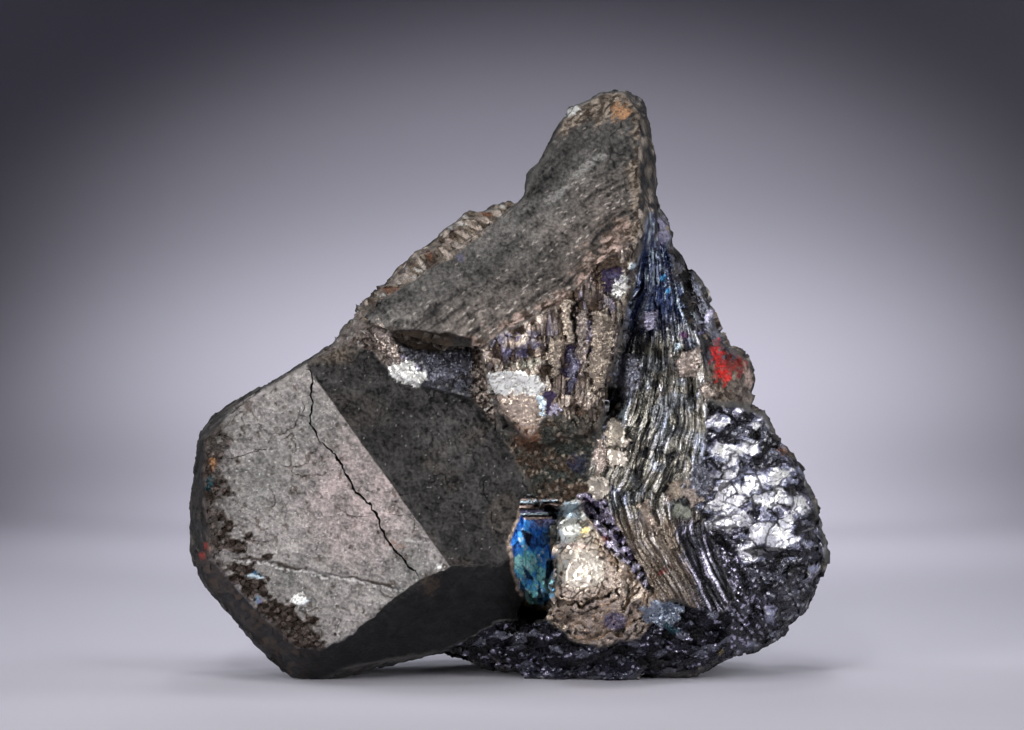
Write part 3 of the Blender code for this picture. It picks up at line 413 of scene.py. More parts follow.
def noise_at(points, size, seed):
    """Smooth noise from -1 to 1 with lumps of the given size."""
    scaled = points / size
    low = np.floor(scaled)
    part = scaled - low
    part = part * part * (3 - 2 * part)
    total = np.zeros(len(points))
    for corner in itertools.product((0, 1), repeat=points.shape[1]):
        share = np.prod(np.where(np.array(corner), part, 1 - part), axis=1)
        total += share * lattice(low + np.array(corner), seed)
    return 2 * total - 1


def fractal(points, size, seed, octaves=3):
    """Noise with finer and finer detail, about -1 to 1."""
    total = np.zeros(len(points))
    for octave in range(octaves):
        total += noise_at(points, size / 2 ** octave, seed + octave) / 1.6 ** octave
    return total


def cells(points, size, seed):
    """Nearest of a scatter of middles: its cell, the offset from it and the gap to the next."""
    scaled = points / size
    low = np.floor(scaled)
    first = np.full(len(points), 1e9)
    second = first.copy()
    offset = np.zeros_like(points)
    chosen = np.zeros_like(points)
    for corner in itertools.product((-1, 0, 1), repeat=points.shape[1]):
        cell = low + np.array(corner)
        jitter = [lattice(cell, seed + axis) for axis in range(points.shape[1])]
        away = scaled - cell - np.stack(jitter, axis=1)
        gap = np.einsum("ij,ij->i", away, away)
        nearer = gap < first
        second = np.where(nearer, first, np.minimum(second, gap))
        first = np.where(nearer, gap, first)
        offset[nearer] = away[nearer]
        chosen[nearer] = cell[nearer]
    return chosen, offset, np.sqrt(second) - np.sqrt(first)


def pair(first, second):
    """Two rows of numbers as the two columns of an array of points."""
    return np.stack([first, second], axis=1)


def shards(points, size, tilt, step, seed):
    """Broken facets: height, a random number for each facet and the gap to the next."""
    cell, offset, gap = cells(points, size, seed)
    height = (lattice(cell, seed + 20) - 0.5) * step
    for axis in range(points.shape[1]):
        slope = (lattice(cell, seed + 21 + axis) - 0.5) * 2 * tilt
        height += offset[:, axis] * np.mean(size) * slope
    return height, lattice(cell, seed + 30), gap


# Measures in the plane of the picture

def seen_from_front(points):
    """Where the camera sees points on the plane y = 0, as (x, z)."""
    reach = -EYE[1] / (points[:, 1] - EYE[1])
    return pair(EYE[0] + (points[:, 0] - EYE[0]) * reach, EYE[2] + (points[:, 2] - EYE[2]) * reach)


def signed_distance(points, outline):
    """Distance from an outline's edge, positive inside it."""
    near = np.full(len(points), 1e9)
    inside = np.zeros(len(points), bool)
    for (ax, az), (bx, bz) in zip(outline, outline[1:] + outline[:1]):
        ex, ez = bx - ax, bz - az
        px, pz = points[:, 0] - ax, points[:, 1] - az
        run = np.clip((px * ex + pz * ez) / (ex * ex + ez * ez), 0, 1)
        near = np.minimum(near, np.hypot(px - run * ex, pz - run * ez))
        if az != bz:
            crossed = (az > points[:, 1]) != (bz > points[:, 1])
            inside ^= crossed & (px < ex * pz / ez)
    return np.where(inside, near, -near)


def region_distance(points, outline, reach=3.0):
    """Signed distance from an outline, computed only within reach of it."""
    corners = np.array(outline)
    near = np.all((points > corners.min(0) - reach) & (points < corners.max(0) + reach), axis=1)
    near = np.flatnonzero(near)
    result = np.full(len(points), -reach)
    result[near] = signed_distance(points[near], outline)
    return result


def regions(seen, wander=None):
    """Signed distance inside each region's outline; the ridge parts the pale face from the dark."""
    place = seen if wander is None else seen + 0.16 * wander
    straight = seen if wander is None else seen + 0.04 * wander
    area = {name: region_distance(place, outline) for name, outline in OUTLINES.items()}
    (ax, az), (bx, bz) = RIDGE
    left = (straight[:, 0] - ax) * (bz - az) - (straight[:, 1] - az) * (bx - ax)
    left = left / math.hypot(bx - ax, bz - az)
    wedge = np.maximum(area["pale"], area["dark"])
    beside = wedge > -0.25
    area["pale"] = np.where(beside, np.minimum(wedge, left), area["pale"])
    area["dark"] = np.where(beside, np.minimum(wedge, -left), area["dark"])
    return area


def path_distance(points, path):
    """Distance from an open line, and how far along it the nearest place lies."""
    near = np.full(len(points), 1e9)
    along = np.zeros(len(points))
    start = 0.0
    for (ax, az), (bx, bz) in zip(path, path[1:]):
        ex, ez = bx - ax, bz - az
        length = math.hypot(ex, ez)
        px, pz = points[:, 0] - ax, points[:, 1] - az
        run = np.clip((px * ex + pz * ez) / length ** 2, 0, 1)
        gap = np.hypot(px - run * ex, pz - run * ez)
        nearer = gap < near
        near[nearer] = gap[nearer]
        along[nearer] = start + run[nearer] * length
        start += length
    return near, along


def ramp(value, low, high):
    """Smooth step from 0 at low to 1 at high."""
    part = np.clip((value - low) / (high - low), 0, 1)
    return part * part * (3 - 2 * part)


def turned(points, angle):
    """Coordinates across and along lines that rise at an angle in degrees."""
    cosine, sine = math.cos(math.radians(angle)), math.sin(math.radians(angle))
    across = -points[:, 0] * sine + points[:, 1] * cosine
    along = points[:, 0] * cosine + points[:, 1] * sine
    return across, along


def mixed(share, first, second):
    """Colours that go from first to second as share goes from 0 to 1."""
    share = np.clip(share, 0, 1)[:, None]
    return first * (1 - share) + second * share


def shaded(colour, amount):
    """A colour made lighter or darker point by point."""
    return colour * np.maximum(1 + amount, 0.1)[:, None]


# Surfaces made of layers

class Surface:
    """Height toward the viewer, colour and finish of a set of surface points."""

    def __init__(self, count):
        self.height = np.zeros(count)
        self.colour = np.tile(TONES["slab"], (count, 1))
        self.finish = np.tile(np.array(MATT), (count, 1))

    def lay(self, share, height=None, colour=None, finish=None):
        """Draws the surface toward new values by each point's share."""
        share = np.clip(share, 0, 1)
        if height is not None:
            self.height += (height - self.height) * share
        if colour is not None:
            self.colour += (colour - self.colour) * share[:, None]
        if finish is not None:
            self.finish += (np.array(finish) - self.finish) * share[:, None]

    def part(self, chosen):
        """Some of the points as a surface of their own."""
        few = Surface(0)
        few.height, few.colour = self.height[chosen], self.colour[chosen]
        few.finish = self.finish[chosen]
        return few

    def put(self, chosen, few):
        """Takes those points back."""
        self.height[chosen], self.colour[chosen] = few.height, few.colour
        self.finish[chosen] = few.finish


# Relief and colour of each region of the front

def granular(seen, seed):
    """Fine salt of a broken matt face: grain, glints and sparse dark veins."""
    bent = pair(*turned(seen, 28))
    grain = noise_at(bent, 0.26, seed) + 0.8 * noise_at(pair(*turned(seen, 61)), 0.16, seed + 1)
    glint = lattice(np.floor(bent / 0.15), seed + 2)
    bent = bent + 0.35 * pair(fractal(seen, 1.6, seed + 5), fractal(seen, 1.6, seed + 8))
    line = np.abs(fractal(bent, 3.1, seed + 3, 2))
    vein = ramp(0.05 - line, 0, 0.04) * ramp(fractal(bent, 4.0, seed + 12, 2), 0.0, 0.5)
    return grain, glint, vein


def lay_edge(surface, seen):
    """Blackish broken rim of the wedge, outside its two faces."""
    patch = fractal(seen, 1.2, 401)
    chips, tint, _ = shards(seen, (0.8, 0.9), 0.5, 0.25, 404)
    colour = mixed(1.2 * tint + 0.4 * patch - 0.4, TONES["under"], TONES["umber"] * 0.35)
    surface.lay(ramp(-19.0 - seen[:, 0], 0, 2), 0.6 * chips, colour, SOOTY)


def lay_pale(surface, seen, area):
    """Pale granular face with a chipped left edge and a low ledge across its foot."""
    x, z = seen.T
    cloud = fractal(seen, 5.5, 11, 2)
    patch = fractal(seen, 1.2, 15)
    grain, glint, vein = granular(seen, 301)
    pits = ramp(-fractal(pair(*turned(seen, 17)), 0.75, 305), 0.70, 1.2)
    blush = ramp(9 - np.hypot(x + 16.5, (z - 20.5) * 0.75), 0, 7)
    colour = mixed(0.5 + 0.5 * cloud, TONES["pale"] * (0.66, 0.70, 0.69), TONES["pale"] * 1.04)
    colour = mixed(0.55 * blush + 0.25 * patch * blush, colour, TONES["pale"] * (1.22, 1.08, 1.08))
    colour = shaded(colour, 0.34 * grain + 0.32 * patch)
    colour = mixed(0.60 * pits, colour, TONES["umber"] * 1.6)
    colour = mixed(0.60 * vein, colour, TONES["umber"] * 1.4)
    colour = mixed((glint > 0.985) * 0.55, colour, TONES["pearl"] * 1.3)
    height = 0.06 * patch + 0.045 * grain - 0.15 * vein - 0.14 * pits
    line_z = np.interp(x, *np.array(LEDGE_LINE).T)
    rise = z - line_z - 0.22 * patch
    broken = ramp(fractal(seen, 2.0, 315, 2), -0.5, 0.0)
    reach = ramp(x, -31.5, -29.0) * ramp(-10.8 - x, 0, 1.5)
    height -= 0.30 * ramp(-rise, -0.05, 0.15) * ramp(4.5 + rise, 0, 4) * reach
    # Painted shadow along the step, and a painted highlight streak just below it
    shadow = ramp(0.20 - np.abs(rise - 0.02), 0, 0.16) * broken * reach
    colour = mixed(0.85 * shadow, colour, TONES["umber"])
    streak = ramp(0.20 - np.abs(rise + 0.34), 0, 0.14) * reach
    colour = mixed(streak * ramp(grain, -0.6, 0.5) * 0.8, colour, TONES["pearl"] * 1.3)
    chipped = ramp(-30.6 - x + 1.4 * patch, 0, 2.0)
    foot = ramp(8.3 - z - 0.3 * (x + 26) + 1.5 * patch, 0, 2.5)
    foot = foot * ramp(-19.5 - x + patch, 0, 2.5)
    border = path_distance(seen, CRUST_BORDER)[0]
    foot = np.maximum(foot, ramp(1.5 - border + 2.0 * patch + cloud, 0, 1.0))
    chips, tint, _ = shards(seen, (0.65, 0.5), 0.7, 0.28, 317)
    crust = mixed(1.5 * tint - 0.6, TONES["umber"] * 0.45, TONES["pale"] * (0.44, 0.38, 0.35))
    colour = mixed(np.maximum(0.85 * chipped, foot), colour, shaded(crust, 0.4 * grain))
    height += np.maximum(chipped, foot) * chips
    surface.lay(ramp(area["pale"], -0.04, 0.04), height, colour, MATT)


def lay_dark(surface, seen, area):
    """Dark matt face whose low tone is a painted shadow, cast by the peak slab, with blackish veins and a
    few painted glints.
    """
    x, z = seen.T
    cloud = fractal(seen, 4.5, 331, 2)
    patch = fractal(seen, 1.1, 335)
    grain, glint, vein = granular(seen, 341)
    pits = ramp(-fractal(pair(*turned(seen, 52)), 0.8, 345), 0.50, 1.2)
    brown = ramp(fractal(seen, 6.0, 351, 2) - 0.03 * (z - 20), 0.0, 0.6)
    colour = mixed(0.5 + 0.6 * cloud, TONES["wedge"] * 0.60, TONES["wedge"] * 1.25)
    colour = mixed(0.45 * brown, colour, TONES["wedge"] * (1.35, 1.15, 0.95))
    # The painted shadow is made darker toward the left of the face
    colour = mixed(ramp(-7.0 - x, 0, 6) * 0.45, colour, TONES["wedge"] * 0.45)
    colour = shaded(colour, 0.55 * grain + 0.50 * patch)
    colour = mixed(0.8 * pits, colour, TONES["black"])
    colour = mixed(0.85 * vein, colour, TONES["black"])
    colour = mixed((glint > 0.994) * 0.6, colour, TONES["pearl"] * 0.6)
    corner = ramp(-16.5 - x + 0.8 * patch, 0, 2) * ramp(z - 34.6, 0, 1.2)
    colour = mixed(0.7 * corner, colour, mixed(0.5 + grain, TONES["umber"], TONES["tan"] * 0.6))
    height = 0.07 * patch + 0.055 * grain - 0.15 * vein - 0.14 * pits
    surface.lay(ramp(area["dark"], -0.04, 0.04), height, colour, MATT)


def lay_peak(surface, seen, area):
    """Slab with fine lines that rise to the right and a warm sparkling lower edge."""
    x, z = seen.T
    cloud = fractal(seen, 5.0, 361, 2)
    patch = fractal(seen, 1.3, 365)
    grain, _, vein = granular(seen, 371)
    across, along = turned(seen, STRIATION_ANGLE)
    across = across + 0.30 * fractal(seen, 3.0, 381, 2)
    scratches = fractal(pair(across, along / 8), 0.80, 383, 3)
    fine = noise_at(pair(across, along / 5), 0.22, 387)
    streak = lattice(np.floor(pair(across / 0.15, along / 0.42)), 389)
    warm = ramp(9.5 - path_distance(seen, PEAK_EDGE)[0] + 2.0 * cloud, 0, 8)
    colour = mixed(0.5 + 0.5 * cloud, TONES["slab"] * 0.64, TONES["slab"] * 1.18)
    colour = mixed(0.40 * warm, colour, TONES["slab"] * (1.50, 1.22, 1.08))
    strength = 0.45 + 0.55 * warm
    shade = strength * (0.50 * scratches + 0.40 * fine) + 0.50 * grain + 0.34 * patch
    colour = shaded(colour, shade)
    colour = mixed((scratches < -0.62) * 0.6 * strength, colour, TONES["black"])
    colour = mixed(0.8 * vein * (1 - warm), colour, TONES["black"])
    sparkle = (streak > 0.975 - 0.060 * warm) * ramp(scratches, -0.3, 0.4)
    colour = mixed(sparkle * (0.30 + 0.45 * warm), colour, TONES["pearl"] * (1.2, 1.1, 1.05))
    height = 0.06 * patch + 0.045 * grain + strength * (0.10 * scratches + 0.05 * fine)
    height = height - 0.15 * vein
    surface.lay(ramp(area["peak"], -0.10, 0.10), height, colour, MATT)
    band = ramp(area["peak"], -0.4, -0.1)
    edge_gap = path_distance(seen, PEAK_EDGE)[0]
    chips, tint, _ = shards(pair(across, along / 2.5), 0.30, 0.6, 0.18, 391)
    rose = mixed(1.7 * tint + 0.3 * grain - 0.55, TONES["umber"] * 1.4, TONES["blush"] * 0.9)
    edge = band * ramp(2.2 - edge_gap + 1.2 * patch, 0, 1.8)
    surface.lay(edge * 0.9, surface.height + 0.8 * chips, rose, CRUST)
    # Painted shadow: darkened crust in the band just under the peak's lower edge, along the notch line
    notch = path_distance(seen, NOTCH_LINE)[0]
    dark = band * ramp(1.1 - notch + 0.6 * patch, 0, 0.9)
    surface.lay(dark * 0.7, surface.height + 0.5 * chips, rose * 0.35, CRUST)
    right_gap = path_distance(seen, PEAK_RIGHT)[0]
    brown = mixed(1.6 * tint + 0.3 * grain - 0.5, TONES["umber"], TONES["tan"])
    right = band * ramp(1.0 - right_gap + 0.9 * patch, 0, 0.9)
    surface.lay(right * 0.85, surface.height + 0.8 * chips, brown, CRUST)
    crest = band * ramp(z - 61.0 - 0.35 * (x - 8.0) + patch, 0, 1.5)
    surface.lay(crest * 0.8, surface.height + 0.8 * chips, brown * 1.1, CRUST)


def lay_strip(surface, seen, area):
    """Narrow dark side of the peak with tan and pink-grey glints."""
    x, z = seen.T
    upright = pair(x + 0.1 * z, z / 2.4)
    chips, tint, _ = shards(upright, 0.42, 0.6, 0.30, 401)
    grain = noise_at(seen, 0.2, 405)
    colour = mixed(1.5 * tint + 0.3 * grain - 0.5, TONES["black"] * 1.5, TONES["tan"] * 0.8)
    colour = mixed((tint > 0.84) * 0.6, colour, TONES["pinkgrey"] * 1.2)
    surface.lay(ramp(area["strip"], -0.15, 0.15), chips, colour, CRUST)


def lay_under(surface, seen, area):
    """Nearly black underside of the wedge, brown at its left foot."""
    patch = fractal(seen, 1.4, 411)
    grain = noise_at(seen, 0.25, 415) + noise_at(seen, 0.5, 416)
    colour = shaded(mixed(0.5 + 0.5 * patch, TONES["under"] * 0.7, TONES["under"] * 1.5), 0.3 * grain)
    left = ramp(-20.0 - seen[:, 0] + patch, 0, 5)
    chips, tint, _ = shards(seen, (0.9, 0.7), 0.5, 0.25, 419)
    brown = mixed(1.3 * tint + 0.3 * grain - 0.4, TONES["black"], TONES["umber"] * 1.4)
    colour = mixed(0.75 * left, colour, brown)
    surface.lay(ramp(area["under"], -0.04, 0.10), 0.09 * patch + 0.05 * grain + left * chips,
                colour, SOOTY)


def lay_gold(surface, seen, area):
    """Warm broken facet with an upright grain and violet tarnish."""
    x, z = seen.T
    upright = pair(x + 0.04 * z, z / 2.2)
    broad = fractal(seen, 2.4, 31, 2)
    chips, tint, gap = shards(upright, 0.62, 0.45, 0.36, 33)
    fine, spark, _ = shards(upright, 0.24, 0.35, 0.06, 37)
    bright = 0.74 * tint + 0.22 * spark + 0.36 * broad
    colour = mixed(1.8 * bright - 0.45, TONES["umber"], TONES["gold_pale"])
    colour = mixed(ramp(bright, 0.72, 0.98) * 0.95, colour, TONES["cream"] * (1.15, 1.12, 1.10))
    dusky = ramp(fractal(seen, 1.8, 43, 2), 0.05, 0.5) * ramp(z, 33.0, 38.0)
    dusky_tone = mixed(spark, TONES["midnight"], TONES["lavender"])
    colour = mixed(dusky * (tint > 0.35) * 0.7, colour, dusky_tone)
    column = x + 0.10 * fractal(seen / (1, 3), 1.6, 45, 2) + 0.03 * z
    slats, slat_tint, slat_gap = shards(pair(column, z / 7), 0.62, 0.45, 0.50, 47)
    hair = lattice(np.floor(column / 0.14)[:, None], 49)
    striped = ramp(x, 3.6, 5.0) * ramp(z, 30.5, 32.5)
    slat_tone = 1.5 * slat_tint + 0.25 * (hair - 0.5) + 0.30 * broad - 0.30
    satin = mixed(slat_tone, TONES["umber"] * 1.2, TONES["pinkgrey"] * (1.0, 0.98, 1.0))
    satin = mixed((slat_tint > 0.80) * 0.8, satin, TONES["cream"] * (0.95, 0.92, 0.92))
    satin = mixed(ramp(fractal(seen / (1, 2), 1.9, 50, 2), 0.25, 0.45) * (slat_tint > 0.3) * 0.6,
                  satin, TONES["lavender"])
    satin = mixed(ramp(0.09 - slat_gap, 0, 0.05) * 0.85, satin, TONES["black"])
    colour = mixed(0.85 * striped, colour, satin)
    right = ramp(x - np.interp(z, (27, 31, 36, 42, 49), (8.8, 9.8, 11.6, 12.6, 13.9)), -0.5, 0.5)
    colour = mixed(0.8 * right, colour, mixed(1.6 * spark - 0.5, TONES["black"], TONES["tan"] * 0.8))
    colour = mixed(ramp(0.12 - gap, 0, 0.07) * 0.8, colour, TONES["umber"] * 0.5)
    height = 0.22 * broad + (1 - 0.8 * striped) * (chips + fine) + striped * (slats + 0.05 * hair)
    surface.lay(ramp(area["gold"], -0.1, 0.25), height, colour, CLEAN)


def lay_throat(surface, seen, area):
    """Dark granular hollow between the gold facet, the lamellae and the pocket."""
    x, z = seen.T
    fine, spark, _ = shards(seen, 0.34, 0.6, 0.14, 41)
    patch = fractal(seen, 1.5, 45)
    colour = mixed(0.5 + patch, TONES["moss"], TONES["umber"] * 1.3)
    colour = shaded(colour, 1.2 * (spark - 0.5))
    colour = mixed((spark > 0.90) * 0.6, colour, TONES["tan"])
    rusty = ramp(2.4 - np.hypot(x - 2.4, z - 26.9), 0, 2)
    colour = mixed(rusty * 0.7, colour, mixed(1.5 * spark - 0.3, TONES["umber"], TONES["rust"] * 1.3))
    surface.lay(ramp(area["throat"], -0.2, 0.3), fine + 0.22 * patch, colour, CRUST)


def lay_ledge(surface, seen, area):
    """Dark broken step between the wedge and the peak slab."""
    x = seen[:, 0]
    chips, tint, _ = shards(seen, (0.75, 0.6), 0.5, 0.28, 51)
    fine, spark, _ = shards(seen, 0.28, 0.6, 0.10, 55)
    colour = mixed(0.6 * tint + 0.5 * spark, TONES["wedge"] * 0.5, TONES["slate"] * 0.9)
    left = ramp(-10.5 - x, 0, 3.0)
    brown = mixed(1.5 * (0.5 * tint + 0.5 * spark) - 0.3, TONES["umber"], TONES["pinkgrey"] * 0.8)
    colour = mixed(left * 0.9, colour, brown)
    right = ramp(x + 4.5, 0, 1.5)
    colour = mixed(right * 0.8, colour, mixed(1.6 * spark - 0.5, TONES["umber"], TONES["gold_pale"]))
    # Painted glints: pearl specks on the step
    colour = mixed((spark > 0.93) * 0.7, colour, TONES["pearl"])
    surface.lay(ramp(area["ledge"], -0.2, 0.3), chips + fine, colour, CRUST)
    # Painted shade: the hollow under the peak's overhang is dark umber, near black at its right end
    smooth = fractal(seen, 1.6, 57, 2)
    hollow = mixed(0.5 + 0.6 * smooth, TONES["umber"] * 0.2, TONES["umber"] * 0.7)
    hollow = mixed(ramp(x, -6.5, -5.5) * 0.8, hollow, TONES["black"])
    surface.lay(ramp(area["under_peak"], -0.1, 0.3), -0.45 + 0.08 * smooth, hollow, MATT)


def lay_ribbon(surface, seen, area):
    """Thin lamellae that fan out, bend and run down to the right."""
    x, z = seen.T
    left = path_distance(seen, LAMELLAE_LEFT)
    right = path_distance(seen, LAMELLAE_RIGHT)
    across = left[0] / (left[0] + right[0] + 1e-6) * 11.0
    along = 0.5 * (left[1] + right[1])
    wavy = across + 0.20 * fractal(seen, 2.2, 61, 2)
    broad, broad_tint, _ = shards(pair(wavy, along / 5), 1.30, 0.35, 0.40, 63)
    slats, slat_tint, slat_gap = shards(pair(wavy, along / 12), 0.36, 0.60, 0.26, 67)
    hairs, hair_tint, _ = shards(pair(wavy, along / 14), 0.15, 0.4, 0.10, 71)
    height = broad + slats + hairs
    notches = fractal(pair(wavy / 0.5, along / 1.1), 1.0, 73, 2)
    bright = 0.18 + 0.64 * slat_tint + 0.50 * (hair_tint - 0.5) + 0.55 * (broad_tint - 0.5)
    bright = bright + 0.22 * notches
    colour = mixed(bright * 1.9 - 0.30, TONES["black"] * 1.4, TONES["olive"] * 1.2)
    colour = mixed(bright * 2.8 - 1.45, colour, TONES["champagne"] * (0.95, 0.97, 1.0))
    # Silver on the brightest slats is a painted highlight
    colour = mixed(bright * 3.0 - 2.5, colour, TONES["silver"] * 1.1)
    cool = ramp(fractal(seen, 2.2, 75, 2), 0.05, 0.5)
    colour = mixed(cool * 0.7, colour, colour * (0.80, 0.92, 1.20))
    upper = ramp(z - 36.5, 0, 5)
    night = mixed(bright * 1.6 - 0.5, TONES["navy"] + 0.006, TONES["slate"] * (0.8, 0.9, 1.2))
    # Ice on the brightest upper slats is a painted highlight
    night = mixed(bright * 3.0 - 2.2, night, TONES["ice"])
    colour = mixed(upper * 0.85, colour, night)
    fan = ramp(19.0 - z + 0.4 * notches, 0, 2.5)
    smooth = mixed(0.7 * slat_tint + 0.6 * hair_tint - 0.25, TONES["umber"] * 1.8, TONES["tan"] * 0.95)
    colour = mixed(fan * 0.8, colour, smooth)
    height = height * (1 - 0.40 * fan)
    edge = x - np.interp(z, (8.3, 19.6), (21.6, 18.2)) + 0.5 * notches
    dim = ramp(edge, -0.5, 0.6) * fan
    dusk = mixed(slat_tint + 0.5 * hair_tint - 0.5, TONES["black"], TONES["slate"] * 0.9)
    # Lilac hairs on the dark lower slats are painted glints
    dusk = mixed((hair_tint > 0.80) * (slat_tint > 0.4) * 0.9, dusk, TONES["lilac"])
    colour = mixed(dim, colour, dusk)
    share = ramp(area["ribbon"], -0.2, 0.2)
    surface.lay(share, height, colour, CLEAN)
    surface.lay(share * ramp(0.08 - slat_gap, 0, 0.06) * 0.85, surface.height - 0.07,
                TONES["black"], CLEAN)


def lay_glitter(surface, seen, area):
    """White angular crystals scattered on black along the lump's right side."""
    beads, tint, _ = shards(seen, (0.42, 0.46), 0.9, 0.40, 77)
    top = ramp(seen[:, 1], 10.5, 17.5)
    pale = (tint > 0.66 - 0.28 * top) * 1.0
    colour = mixed(pale * 0.95, TONES["black"], TONES["lilac"] * (1.1, 1.1, 1.08))
    colour = mixed((tint < 0.10) * 0.6, colour, TONES["plum"] * 2)
    surface.lay(ramp(area["glitter"], -0.1, 0.15), beads, colour, CRYSTAL)


def lay_shoulder(surface, seen, area):
    """Narrow plates and grooves along the right shoulder and its knob."""
    across, along = turned(seen, -66)
    long = pair(across, along / 5)
    slats, tint, _ = shards(long, 0.62, 0.5, 0.42, 81)
    fine, spark, _ = shards(pair(across, along / 2), 0.28, 0.5, 0.10, 85)
    colour = mixed(tint + 0.3 * spark - 0.2, TONES["black"] * 1.5, TONES["slate"] * 0.75)
    # Painted glints: tan specks
    colour = mixed((spark > 0.86) * 0.6, colour, TONES["tan"] * 0.8)
    knob = ramp(34.8 - seen[:, 1], -1.0, 1.0)
    dusty = mixed(1.4 * spark - 0.3, TONES["umber"], TONES["tan"] * 0.75)
    colour = mixed(knob * 0.8, colour, dusty)
    surface.lay(ramp(area["shoulder"], -0.1, 0.3), slats * (1 - 0.4 * knob) + fine, colour, CRUST)


def lay_lump(surface, seen, area):
    """Gold-brown lump: cracked pale plates above, thin wrapped ledges below."""
    x, z = seen.T
    warp = 0.30 * fractal(seen, 1.6, 91, 3)
    bend = fractal(seen, 2.6, 92, 2)
    right, up = x - LUMP_MIDDLE[0], z - LUMP_MIDDLE[1]
    rings = np.hypot(right + 0.7 * bend, up * 0.92) + 1.6 * warp
    phase = (rings + 0.35 * fractal(seen, 0.9, 90, 2)) / 0.85
    ledge = phase - np.floor(phase)
    layer = lattice(np.floor(phase)[:, None], 93)
    long = pair(rings, np.arctan2(up, right) * 2.2)
    plates, plate_tint, _ = shards(long, (0.5, 1.2), 0.5, 0.30, 94)
    fine, spark, _ = shards(seen, (0.25, 0.22), 0.7, 0.12, 95)
    patch = fractal(seen, 0.9, 97)
    tone = 0.45 * layer + 0.45 * plate_tint + 0.18 * spark + 0.20 * patch
    colour = mixed(1.9 * tone - 0.40, TONES["gold"] * 0.25, TONES["gold_pale"] * 1.25)
    # Painted shade in the crevices between the ledges, and painted highlights along the ledge edges
    torn = ramp(fractal(seen, 1.0, 96, 2), -0.25, 0.25)
    colour = mixed(torn * ramp(ledge, 0.56, 0.70) * (layer > 0.15) * 0.95, colour, TONES["black"] * 1.5)
    colour = mixed(ramp(0.34 - ledge, 0, 0.16) * ramp(tone, 0.35, 0.65) * 0.95, colour,
                   TONES["cream"] * (1.15, 1.08, 1.0))
    height = 0.60 * (1 - ledge) * (0.35 + layer) + 0.5 * plates + 0.25 * fine
    share = ramp(area["lump"], -0.1, 0.25)
    surface.lay(share, height, colour, CLEAN)
    top = signed_distance(seen + 0.16 * pair(patch, -patch), LUMP_TOP)
    crackle = np.minimum(shards(seen, (1.9, 1.5), 0, 0, 98)[2],
                         0.6 * shards(seen, (0.8, 0.7), 0, 0, 99)[2] + 0.03)
    flats, flat_tint, _ = shards(seen, (1.7, 1.3), 0.25, 0.20, 100)
    cool = ramp(z, 13.5, 17.5)
    pale = mixed(cool, TONES["cream"] * (1.05, 0.98, 0.94), TONES["cream_cold"] * 1.02)
    pale = shaded(pale, 0.12 * patch + 0.04 * (spark - 0.5) + 0.50 * (flat_tint - 0.50))
    pale = mixed((flat_tint < 0.16) * 0.5, pale, TONES["gold"])
    pale = mixed(ramp(0.13 - crackle, 0, 0.06) * 0.9, pale, TONES["umber"] * 0.6)
    surface.lay(share * ramp(top, -0.10, 0.15), 0.38 + 0.04 * patch + 0.08 * fine + flats, pale, SATIN)
    across, along = turned(seen, -54)
    streak = pair(across, along / 6)
    slats, tint, _ = shards(streak, 0.28, 0.5, 0.28, 101)
    side = share * ramp(x + 0.74 * (z - 19.7) - 9.4, -0.1, 0.3)
    slate = mixed(1.5 * tint - 0.3, TONES["umber"] * 0.6, TONES["gold_pale"])
    surface.lay(side, slats + 0.1, slate, CLEAN)
    drusy, drusy_tint, _ = shards(seen, 0.24, 1.0, 0.14, 103)
    spot_gap = 1.35 - np.hypot(x - 12.5, (z - 5.95) * 1.3) + 0.3 * warp
    grape = mixed(drusy_tint, TONES["plum"] * 1.5, TONES["lilac"] * 0.65)
    grape = mixed((drusy_tint > 0.7) * 0.5, grape, TONES["blush"] * 0.8)
    surface.lay(ramp(spot_gap, -0.05, 0.15), 0.20 + drusy, grape, CRYSTAL)


